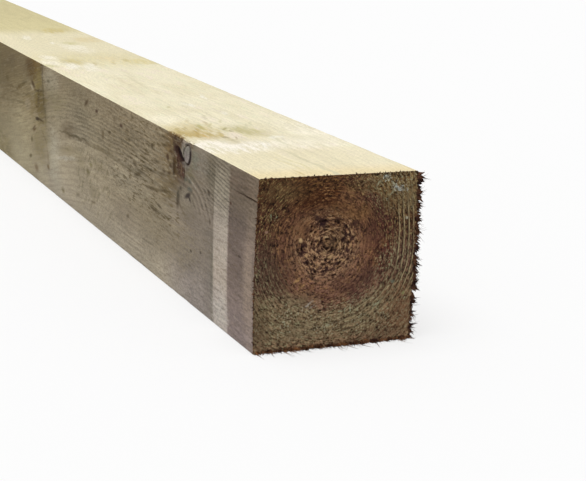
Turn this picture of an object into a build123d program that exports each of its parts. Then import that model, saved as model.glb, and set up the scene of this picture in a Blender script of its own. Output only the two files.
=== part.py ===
"""Treated wooden post: a square length of sawn softwood with the heart boxed in.

It lies along X on one of its faces, with the origin under its middle and +Z up. All sizes are in mm.
The two upright sides have crowned a little in drying. Near the +X end an encased knot, a bark pocket
and a chipped arris lie together on the -Y side, and a drying check runs in from that end.
"""
import os

from build123d import *

# Sawn section and length
LENGTH = 2400.0
WIDTH = 100.0  # over the crowned sides, at half height
HEIGHT = 100.0
SIDE_CROWN = 1.0  # how far each side bulges at half height
ARRIS_RADIUS = 0.8  # wear along the four long edges
END_CHAMFER = 0.4  # edge left by the saw round each end

# Encased knot on the -Y side
KNOT_FROM_END = 106.0  # its middle from the +X end
KNOT_BELOW_TOP = 8.7
KNOT_RADIUS = 4.8
BRANCH_RISE = 20.0  # degrees that the branch points above level
BARK_RING = 1.0  # width of the ring where the bark has shrunk away
BARK_RING_DEPTH = 1.6

# Bark pocket, beyond the knot as seen from the +X end
POCKET_LENGTH = 17.0
POCKET_HEIGHT = 7.0
POCKET_DEPTH = 1.8
POCKET_FLOOR_RADIUS = 0.6
POCKET_TILT = 30.0  # degrees that it falls towards the knot
POCKET_BEYOND_RING = 10.2  # its middle from the bark ring
POCKET_BELOW_KNOT = 2.5

# Torn hollow below the pocket
HOLLOW_LENGTH = 17.0
HOLLOW_HEIGHT = 13.0
HOLLOW_DEPTH = 0.6
HOLLOW_BEYOND_RING = 11.0
HOLLOW_BELOW_KNOT = 11.0

# Bark seam, which runs down under the knot along the hollow's edge
SEAM_LENGTH = 14.0
SEAM_WIDTH = 1.4
SEAM_DEPTH = 2.2
SEAM_LEAN = 10.0  # degrees from upright, its foot towards the +X end
SEAM_BEYOND_RING = 2.6
SEAM_BELOW_KNOT = 11.0

# Chips torn out of the arris above the knot, each smaller than the one before
CHIP_COUNT = 3
CHIP_PITCH = 11.5
CHIP_LENGTH = 10.0
CHIP_DEPTH = 1.3
CHIP_SHARE = 0.8  # size of each chip as a share of the one before

# Drying check in the -Y side, deepest at the +X end
CHECK_LENGTH = 45.0
CHECK_DEPTH = 3.0
CHECK_WIDTH = 0.5
CHECK_BELOW_TOP = 13.5

CUT_START = 1.0  # how far outside the side its cuts start

END_X = LENGTH / 2
CORNER_Y = WIDTH / 2 - SIDE_CROWN
CROWN_RADIUS = (HEIGHT**2 / 4 + SIDE_CROWN**2) / (2 * SIDE_CROWN)
CROWN_AXIS_Y = CROWN_RADIUS - WIDTH / 2


def side_plane(x, height):
    """Plane that touches the crowned -Y side at a place along the post and a height, facing outward."""
    across = (CROWN_RADIUS**2 - (height - HEIGHT / 2) ** 2) ** 0.5
    origin = (x, CROWN_AXIS_Y - across, height)
    return Plane(origin=origin, x_dir=(1, 0, 0), z_dir=(0, -across, height - HEIGHT / 2))


knot_x = END_X - KNOT_FROM_END
knot_z = HEIGHT - KNOT_BELOW_TOP
ring_radius = KNOT_RADIUS + BARK_RING
ring_edge_x = knot_x - ring_radius
branch = Vector(0, -1, 0).rotate(Axis.X, -BRANCH_RISE)

knot_face = side_plane(knot_x, knot_z)
pocket_face = side_plane(ring_edge_x - POCKET_BEYOND_RING, knot_z - POCKET_BELOW_KNOT)
hollow_face = side_plane(ring_edge_x - HOLLOW_BEYOND_RING, knot_z - HOLLOW_BELOW_KNOT)
seam_face = side_plane(ring_edge_x - SEAM_BEYOND_RING, knot_z - SEAM_BELOW_KNOT)

check_z = HEIGHT - CHECK_BELOW_TOP
check_y = side_plane(END_X, check_z).origin.Y

with BuildPart() as post:
    # Square section with two crowned sides and worn arrises
    with BuildSketch(Plane.YZ.offset(-END_X)) as section:
        with BuildLine():
            bottom = Line((-CORNER_Y, 0), (CORNER_Y, 0))
            back = ThreePointArc(bottom @ 1, (WIDTH / 2, HEIGHT / 2), (CORNER_Y, HEIGHT))
            top = Line(back @ 1, (-CORNER_Y, HEIGHT))
            ThreePointArc(top @ 1, (-WIDTH / 2, HEIGHT / 2), bottom @ 0)
        make_face()
        fillet(section.vertices(), radius=ARRIS_RADIUS)
    extrude(amount=LENGTH)
    chamfer(post.faces().filter_by(Axis.X).edges(), length=END_CHAMFER)

    # Torn hollow
    with BuildSketch(hollow_face.offset(CUT_START)):
        Ellipse(HOLLOW_LENGTH / 2, HOLLOW_HEIGHT / 2)
    extrude(amount=-(CUT_START + HOLLOW_DEPTH), mode=Mode.SUBTRACT)

    # Bark pocket, rounded where its walls meet its floor
    with BuildSketch(pocket_face.offset(CUT_START)):
        Ellipse(POCKET_LENGTH / 2, POCKET_HEIGHT / 2, rotation=-POCKET_TILT)
    extrude(amount=-(CUT_START + POCKET_DEPTH), mode=Mode.SUBTRACT)
    pocket_floor = post.faces(Select.LAST).sort_by_distance(pocket_face.offset(-POCKET_DEPTH).origin)[0]
    fillet(pocket_floor.edges(), radius=POCKET_FLOOR_RADIUS)

    # Bark seam
    with BuildSketch(seam_face.offset(CUT_START)):
        SlotOverall(SEAM_LENGTH, SEAM_WIDTH, rotation=90 + SEAM_LEAN)
    extrude(amount=-(CUT_START + SEAM_DEPTH), mode=Mode.SUBTRACT)

    # Ring round the knot, cut along the branch
    with BuildSketch(knot_face):
        Circle(ring_radius)
        Circle(KNOT_RADIUS, mode=Mode.SUBTRACT)
    extrude(amount=BARK_RING_DEPTH, dir=branch, both=True, mode=Mode.SUBTRACT)

    # Chips in the arris, each a scoop that runs out at both ends
    outward = Vector(0, -1, 1).normalized()
    for chip in range(CHIP_COUNT):
        share = CHIP_SHARE**chip
        depth = CHIP_DEPTH * share
        scoop_radius = ((CHIP_LENGTH * share) ** 2 / 4 + depth**2) / (2 * depth)
        arris = Vector(knot_x - chip * CHIP_PITCH, -CORNER_Y, HEIGHT)
        scoop_axis = arris + outward * (scoop_radius - depth)
        with BuildSketch(Plane(origin=scoop_axis, x_dir=(1, 0, 0), z_dir=(0, 1, 1))):
            Circle(scoop_radius)
        extrude(amount=scoop_radius, both=True, mode=Mode.SUBTRACT)

    # Drying check
    with BuildSketch(Plane.XY.offset(check_z)):
        with BuildLine():
            Polyline(
                (END_X, check_y - CUT_START),
                (END_X - CHECK_LENGTH, check_y),
                (END_X, check_y + CHECK_DEPTH),
                close=True,
            )
        make_face()
    extrude(amount=CHECK_WIDTH / 2, both=True, mode=Mode.SUBTRACT)

post.part.label = "post"

os.makedirs("parts", exist_ok=True)
export_step(post.part, "parts/post.step")
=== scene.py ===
"""Treated wooden post: a sawn square length of softwood with its grain, knots and torn saw cut."""
import logging
import math
import random
from dataclasses import dataclass, field
from enum import Enum
from typing import Any, Callable, Iterable

import bmesh
import bpy
from mathutils import Matrix, Vector, noise


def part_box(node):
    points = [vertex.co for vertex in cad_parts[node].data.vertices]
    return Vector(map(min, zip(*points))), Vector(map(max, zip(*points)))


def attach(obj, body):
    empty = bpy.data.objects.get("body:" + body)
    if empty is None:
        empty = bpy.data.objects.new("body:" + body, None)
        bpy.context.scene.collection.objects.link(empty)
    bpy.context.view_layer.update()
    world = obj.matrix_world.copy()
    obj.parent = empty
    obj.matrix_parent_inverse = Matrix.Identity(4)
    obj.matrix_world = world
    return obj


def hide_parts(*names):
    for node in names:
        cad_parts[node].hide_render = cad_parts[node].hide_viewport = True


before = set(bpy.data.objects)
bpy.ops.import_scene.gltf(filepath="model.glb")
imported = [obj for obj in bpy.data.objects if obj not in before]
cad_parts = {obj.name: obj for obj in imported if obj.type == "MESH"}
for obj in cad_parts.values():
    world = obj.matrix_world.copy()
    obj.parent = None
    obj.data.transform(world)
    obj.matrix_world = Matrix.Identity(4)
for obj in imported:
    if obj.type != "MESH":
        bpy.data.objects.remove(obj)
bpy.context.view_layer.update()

Colour = tuple[float, float, float, float]

MM = 0.001
POST_LOW, POST_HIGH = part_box("post")
BODY = "root"

# The post's sizes in mm. Its half width is measured over the crowned sides, at half height.
HALF_LENGTH = POST_HIGH.x / MM
LENGTH = (POST_HIGH.x - POST_LOW.x) / MM
HALF_WIDTH = 50.0
HEIGHT = POST_HIGH.z / MM
SIDE_CROWN = 1.0
ARRIS = 0.8

# The torn heart's radius on the near end, and the drying check's height and length on the side
TORN_HEART = 25.0
CHECK_HEIGHT = 86.5
CHECK_LENGTH = 46.0

# The mesh's own attribute and map: mm that each point lies below the plain bar, in wear, hollows and pits,
# which also sets the painted shade there, and the layout for baking
SUNK_DEPTH = "sunk_depth"
BAKE_MAP = "OFBake"

log = logging.getLogger("post")


def tone(red: float, green: float, blue: float) -> Colour:
    """Turn a colour from display values into the linear values that shaders take.

    Args:
        red: 0 to 255.
        green: 0 to 255.
        blue: 0 to 255.

    Returns:
        The linear colour with full alpha.
    """
    def straighten(value: float) -> float:
        """Undo the display curve for one channel."""
        share = value / 255.0
        return share / 12.92 if share <= 0.04045 else ((share + 0.055) / 1.055) ** 2.4

    return straighten(red), straighten(green), straighten(blue), 1.0


def ease(low: float, high: float, value: float) -> float:
    """Rise smoothly from 0 at low to 1 at high.

    Args:
        low: where the rise starts; it may be the larger of the two.
        high: where it ends.
        value: where to read it.

    Returns:
        A number from 0 to 1.
    """
    share = min(max((value - low) / (high - low), 0.0), 1.0)
    return share * share * (3.0 - 2.0 * share)


class Signal:
    """A number in a material's node tree, on which Python's operators add Math nodes."""

    def __init__(self, bench: "Bench", socket: bpy.types.NodeSocket) -> None:
        """Wrap a socket.

        Args:
            bench: the tree that the socket belongs to.
            socket: the output that carries the number.
        """
        self.bench = bench
        self.socket = socket

    def __add__(self, other: "Number") -> "Signal":
        """Add."""
        return self.bench.math("ADD", self, other)

    def __radd__(self, other: float) -> "Signal":
        """Add to a plain number."""
        return self.bench.math("ADD", other, self)

    def __sub__(self, other: "Number") -> "Signal":
        """Take away."""
        return self.bench.math("SUBTRACT", self, other)

    def __rsub__(self, other: float) -> "Signal":
        """Take away from a plain number."""
        return self.bench.math("SUBTRACT", other, self)

    def __mul__(self, other: "Number") -> "Signal":
        """Multiply."""
        return self.bench.math("MULTIPLY", self, other)

    def __rmul__(self, other: float) -> "Signal":
        """Multiply a plain number."""
        return self.bench.math("MULTIPLY", other, self)

    def __truediv__(self, other: "Number") -> "Signal":
        """Divide."""
        return self.bench.math("DIVIDE", self, other)

    def __rtruediv__(self, other: float) -> "Signal":
        """Divide a plain number."""
        return self.bench.math("DIVIDE", other, self)

    def sine(self) -> "Signal":
        """Give the sine."""
        return self.bench.math("SINE", self)

    def fraction(self) -> "Signal":
        """Give the part after the point."""
        return self.bench.math("FRACT", self)

    def size(self) -> "Signal":
        """Drop the sign."""
        return self.bench.math("ABSOLUTE", self)

    def at_most(self, limit: float) -> "Signal":
        """Give the smaller of this and a limit."""
        return self.bench.math("MINIMUM", self, limit)

    def at_least(self, limit: float) -> "Signal":
        """Give the larger of this and a limit."""
        return self.bench.math("MAXIMUM", self, limit)

    def rise(self, low: float, high: float, full: float = 1.0) -> "Signal":
        """Rise smoothly from 0 where this is low to its full value where it is high.

        Args:
            low: where the rise starts; it may be the larger of the two.
            high: where it ends.
            full: the value there.

        Returns:
            A number from 0 to the full value.
        """
        inputs = {"Value": self, "From Min": low, "From Max": high, "To Max": full}
        node = self.bench.node("ShaderNodeMapRange", {"interpolation_type": "SMOOTHSTEP"}, inputs)
        return Signal(self.bench, node.outputs["Result"])


Number = Signal | float
Socket = bpy.types.NodeSocket
BLACK: Colour = (0.0, 0.0, 0.0, 1.0)
WHITE: Colour = (1.0, 1.0, 1.0, 1.0)

# Where a colour Mix node has its inputs and its output
MIX_FACTOR, MIX_FIRST, MIX_SECOND, MIX_RESULT = 0, 6, 7, 2


class Bench:
    """The node tree of a material or of the world, with the ways of adding to it that are used."""

    def __init__(self, owner: bpy.types.Material | bpy.types.World) -> None:
        """Start with an empty tree.

        Args:
            owner: the material or world whose tree it is.
        """
        self.owner = owner
        owner.use_nodes = True
        self.tree = owner.node_tree
        self.tree.nodes.clear()

    def node(self, kind: str, settings: dict[str, Any] | None = None,
             inputs: dict[str | int, Any] | None = None) -> bpy.types.Node:
        """Add a node.

        Args:
            kind: the node's type.
            settings: its own settings, which are set first.
            inputs: a value, a Signal or a socket for each input, by name or place.

        Returns:
            The new node.
        """
        made = self.tree.nodes.new(kind)
        for name, value in (settings or {}).items():
            setattr(made, name, value)
        for key, value in (inputs or {}).items():
            if isinstance(value, Signal):
                self.tree.links.new(value.socket, made.inputs[key])
            elif isinstance(value, bpy.types.NodeSocket):
                self.tree.links.new(value, made.inputs[key])
            else:
                made.inputs[key].default_value = value
        return made

    def math(self, operation: str, *values: Number) -> Signal:
        """Add a Math node.

        Args:
            operation: the node's operation.
            values: what goes into its inputs, in order.

        Returns:
            The result.
        """
        node = self.node("ShaderNodeMath", {"operation": operation}, dict(enumerate(values)))
        return Signal(self, node.outputs[0])

    def vector(self, operation: str, first: Any, second: Any = None, scale: Number | None = None) -> Socket:
        """Add a Vector Math node.

        Args:
            operation: the node's operation.
            first: the first vector.
            second: the second vector, where there is one.
            scale: the number of a SCALE operation.

        Returns:
            The vector that comes out.
        """
        inputs: dict[str | int, Any] = {0: first}
        if second is not None:
            inputs[1] = second
        if scale is not None:
            inputs["Scale"] = scale
        return self.node("ShaderNodeVectorMath", {"operation": operation}, inputs).outputs["Vector"]

    def length(self, vector: Socket) -> Signal:
        """Give a vector's length."""
        node = self.node("ShaderNodeVectorMath", {"operation": "LENGTH"}, {0: vector})
        return Signal(self, node.outputs["Value"])

    def place(self) -> Socket:
        """Give the place on the post in mm, in the frame of the post."""
        spot = self.node("ShaderNodeTexCoord").outputs["Object"]
        return self.vector("SCALE", spot, scale=1.0 / MM)

    def split(self, vector: Socket) -> tuple[Signal, Signal, Signal]:
        """Give a vector's three numbers."""
        node = self.node("ShaderNodeSeparateXYZ", None, {0: vector})
        return Signal(self, node.outputs[0]), Signal(self, node.outputs[1]), Signal(self, node.outputs[2])

    def join(self, x: Number, y: Number, z: Number) -> Socket:
        """Make a vector of three numbers."""
        return self.node("ShaderNodeCombineXYZ", None, {0: x, 1: y, 2: z}).outputs[0]

    def grain(self, vector: Socket, pitch: tuple[float, float, float], detail: float = 2.0,
              roughness: float = 0.5) -> Signal:
        """Add a cloud of soft noise, stretched to a pitch along each axis.

        Args:
            vector: the place in mm.
            pitch: the size of its lumps along each axis, in mm.
            detail: how many finer layers it has.
            roughness: how strong they are.

        Returns:
            A number that lies mostly between 0.25 and 0.75.
        """
        spot = self.vector("MULTIPLY", vector, tuple(1.0 / size for size in pitch))
        inputs = {"Vector": spot, "Scale": 1.0, "Detail": detail, "Roughness": roughness}
        return Signal(self, self.node("ShaderNodeTexNoise", None, inputs).outputs[0])

    def drift(self, vector: Socket, pitch: float, reach: tuple[float, float, float]) -> Socket:
        """Push a place about by smooth noise, so that what is drawn there wavers.

        Args:
            vector: the place in mm.
            pitch: the size of the waves in mm.
            reach: how far it is pushed along each axis, in mm.

        Returns:
            The moved place.
        """
        inputs = {"Vector": vector, "Scale": 1.0 / pitch, "Detail": 2.0}
        cloud = self.node("ShaderNodeTexNoise", None, inputs).outputs["Color"]
        centred = self.vector("SUBTRACT", cloud, (0.5, 0.5, 0.5))
        return self.vector("ADD", vector, self.vector("MULTIPLY", centred, reach))

    def mix(self, share: Number, first: Any, second: Any, blend: str = "MIX") -> Socket:
        """Lay one colour over another.

        Args:
            share: how much of the second shows, from 0 to 1.
            first: the colour below.
            second: the colour above.
            blend: how they are combined.

        Returns:
            The combined colour.
        """
        settings = {"data_type": "RGBA", "blend_type": blend}
        inputs = {MIX_FACTOR: share, MIX_FIRST: first, MIX_SECOND: second}
        return self.node("ShaderNodeMix", settings, inputs).outputs[MIX_RESULT]

    def shade(self, colour: Any, strength: Number) -> Socket:
        """Make a colour lighter or darker, by mixing it with black past the ends of the scale.

        Args:
            colour: the colour.
            strength: 1 leaves it as it is.

        Returns:
            The changed colour.
        """
        settings = {"data_type": "RGBA", "clamp_factor": False}
        inputs = {MIX_FACTOR: strength, MIX_FIRST: BLACK, MIX_SECOND: colour}
        return self.node("ShaderNodeMix", settings, inputs).outputs[MIX_RESULT]

    def attribute(self, name: str) -> Signal:
        """Read a number that is stored on the mesh."""
        return Signal(self, self.node("ShaderNodeAttribute", {"attribute_name": name}).outputs["Fac"])

    def finish(self, colour: Any, roughness: Number, height: Signal | None = None, depth: float = 0.3,
               strength: float = 1.0, gloss: float = 0.12) -> bpy.types.Material:
        """Close the tree with its shader.

        Args:
            colour: the surface's colour.
            roughness: from 0, polished, to 1, dull.
            height: the fine relief, from 0 to 1.
            depth: how deep that relief is, in mm.
            strength: how much of the relief shows.
            gloss: the shader's specular level.

        Returns:
            The finished material.
        """
        inputs: dict[str | int, Any] = {"Base Color": colour, "Roughness": roughness}
        if height is not None:
            bump = {"Height": height, "Distance": depth * MM, "Strength": strength}
            inputs["Normal"] = self.node("ShaderNodeBump", None, bump).outputs["Normal"]
        inputs["Specular IOR Level"] = gloss
        shader = self.node("ShaderNodeBsdfPrincipled", None, inputs)
        self.node("ShaderNodeOutputMaterial", None, {"Surface": shader.outputs[0]})
        return self.owner


@dataclass(frozen=True)
class Branch:
    """A branch that left the heart and shows as a knot where a face cuts it."""

    from_end: float
    bearing: float
    radius: float

    def spread(self, bench: Bench, from_end: Signal, across: Signal, rise: Signal) -> Signal:
        """Give the distance from the branch's line as a share of its radius.

        Args:
            bench: the tree to add to.
            from_end: mm from the near end.
            across: mm from the heart line, towards +Y.
            rise: mm above the heart line.

        Returns:
            0 on the branch's line and 1 at its bark.
        """
        cosine = math.cos(math.radians(self.bearing))
        sine = math.sin(math.radians(self.bearing))
        out = across * cosine + rise * sine
        aside = rise * cosine - across * sine
        along = from_end - self.from_end
        behind = (out * -1.0).at_least(0.0) * 4.0
        return bench.length(bench.join(along, aside, behind)) / self.radius


@dataclass(frozen=True)
class Heart:
    """The heart line of the tree inside the post, and the growth rings round it. Sizes are in mm."""

    across: float = -7.0
    height: float = 60.3
    sway: float = 3.0
    sway_pitch: float = 95.0
    dip: float = 5.0
    dip_pitch: float = 150.0
    young_radius: float = 30.0
    young_ring: float = 2.6
    old_ring: float = 2.45
    old_ring_change: float = 0.85
    narrow_bearing: float = 135.0
    ring_shift: float = 0.1
    flattening: float = 0.55
    branches: tuple[Branch, ...] = (
        Branch(124.0, -18.0, 9.0),
        Branch(131.0, -112.0, 8.0),
        Branch(468.0, 12.0, 11.0),
        Branch(476.0, -70.0, 9.0),
        Branch(700.0, -35.0, 8.0),
        Branch(1000.0, 172.0, 11.0),
        Branch(1010.0, 55.0, 9.0),
        Branch(1018.0, -60.0, 10.0),
        Branch(1330.0, 98.0, 11.0),
        Branch(1338.0, -150.0, 8.0),
        Branch(1345.0, -20.0, 10.0),
        Branch(1690.0, 160.0, 9.0),
        Branch(1702.0, 30.0, 11.0),
        Branch(1698.0, -95.0, 9.0),
        Branch(2050.0, 200.0, 10.0),
        Branch(2061.0, 80.0, 9.0),
        Branch(2056.0, -40.0, 11.0),
    )

    def rings_at(self, across: float, height: float) -> tuple[float, float]:
        """Count the rings at a place on the near end.

        Args:
            across: mm towards +Y.
            height: mm above the resting face.

        Returns:
            The distance from the heart in mm, and the number of rings out to there.
        """
        aside = across - self.across
        up = height - self.height
        radius = max(math.hypot(aside, up), 0.01)
        bearing = math.radians(self.narrow_bearing)
        up -= max(up, 0.0) * self.flattening * ease(10.0, 34.0, aside)
        reach = max(math.hypot(aside, up), 0.01)
        towards = (aside * math.cos(bearing) + up * math.sin(bearing)) / reach
        old_ring = self.old_ring - self.old_ring_change * towards
        young = min(reach, self.young_radius)
        return radius, young / self.young_ring + (reach - young) / old_ring - self.ring_shift

    def upright(self, aside: Signal, up: Signal) -> Signal:
        """Lower the upper right, where the rings on the end run nearly straight up."""
        return up - up.at_least(0.0) * aside.rise(10.0, 34.0, self.flattening)

    def offsets(self, from_end: Signal, y: Signal, z: Signal) -> tuple[Signal, Signal]:
        """Give how far a place lies from the heart line.

        Args:
            from_end: mm from the near end.
            y: mm towards +Y.
            z: mm above the resting face.

        Returns:
            The distances towards +Y and up.
        """
        aside = y - ((from_end / self.sway_pitch).sine() * self.sway + self.across)
        up = z - ((from_end / self.dip_pitch).sine() * self.dip + self.height)
        return aside, up

    def rings(self, bench: Bench, aside: Signal, up: Signal) -> tuple[Signal, Signal]:
        """Count the rings at any place.

        Args:
            bench: the tree to add to.
            aside: mm from the heart line towards +Y.
            up: mm above the heart line.

        Returns:
            The distance from the heart line in mm, and the number of rings out to there.
        """
        radius = bench.length(bench.join(aside, up, 0.0)).at_least(0.01)
        bearing = math.radians(self.narrow_bearing)
        towards = (aside * math.cos(bearing) + up * math.sin(bearing)) / radius
        old_ring = self.old_ring - towards * self.old_ring_change
        young = radius.at_most(self.young_radius)
        return radius, young / self.young_ring + (radius - young) / old_ring - self.ring_shift


@dataclass(frozen=True)
class Patch:
    """A stain, streak, knot or bruise drawn on one face, or a patch of painted shade, shadow or highlight.

    Places and sizes are in mm. On a side and the top, along is measured from the near end, and across is the
    height or the distance from the middle line. On an end, along is the distance from the middle line and
    across is the height. The patch is turned by lean degrees, so that across falls as along grows.
    """

    along: float
    across: float
    half_along: float
    half_across: float
    colour: Colour
    strength: float = 1.0
    core: float = 0.3
    lean: float = 0.0

    def cover(self, bench: Bench, spot: Socket, fray: Signal) -> Signal:
        """Give how much of the patch shows at a place.

        Args:
            bench: the tree to add to.
            spot: the place on the face.
            fray: noise round 1 that breaks up the patch's edge.

        Returns:
            A number from 0, outside the patch, to its strength.
        """
        reach = 2.0 - self.core
        inputs = {
            "Vector": spot,
            "Location": (self.along, self.across, 0.0),
            "Rotation": (0.0, 0.0, -math.radians(self.lean)),
            "Scale": (self.half_along * reach, self.half_across * reach, 1.0),
        }
        local = bench.node("ShaderNodeMapping", {"vector_type": "TEXTURE"}, inputs).outputs["Vector"]
        ball = bench.node("ShaderNodeTexGradient", {"gradient_type": "SPHERICAL"}, {"Vector": local})
        return (Signal(bench, ball.outputs[1]) * fray).rise(0.0, 1.0 - self.core / reach, self.strength)


def lay(bench: Bench, colour: Socket, spot: Socket, fray: Signal, patches: Iterable[Patch]) -> Socket:
    """Lay patches over a colour, in order.

    Args:
        bench: the tree to add to.
        colour: the colour below.
        spot: the place on the face.
        fray: noise round 1 that breaks up their edges.
        patches: what is laid.

    Returns:
        The colour with the patches on it.
    """
    for patch in patches:
        colour = bench.mix(patch.cover(bench, spot, fray), colour, patch.colour)
    return colour


CREAM = tone(234, 226, 197)
PALE = tone(243, 237, 219)
BUFF = tone(224, 214, 180)
OLIVE_TOP = tone(192, 183, 134)
GREY_TOP = tone(212, 204, 172)
PINK_TOP = tone(238, 224, 206)
DULL_TOP = tone(208, 197, 150)
AGED_TOP = tone(199, 188, 145)

# The side's colour from the foot up: the wood's own grey-brown, with a gradient of painted light, lighter low
# down as if thrown up from the floor
SIDE_LOW = tone(166, 155, 136)
SIDE_MIDDLE = tone(152, 139, 115)
SIDE_HIGH = tone(138, 124, 99)
SIDE_FAR = tone(112, 98, 68)
STREAK_DARK = tone(96, 82, 54)
STREAK_LIGHT = tone(176, 166, 140)
MOSSY = tone(118, 108, 78)
BARK_BROWN = tone(70, 46, 34)
BARK_BLACK = tone(36, 22, 20)
KNOT_GREY = tone(136, 127, 120)
BLUE_GREY = tone(178, 174, 156)

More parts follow.
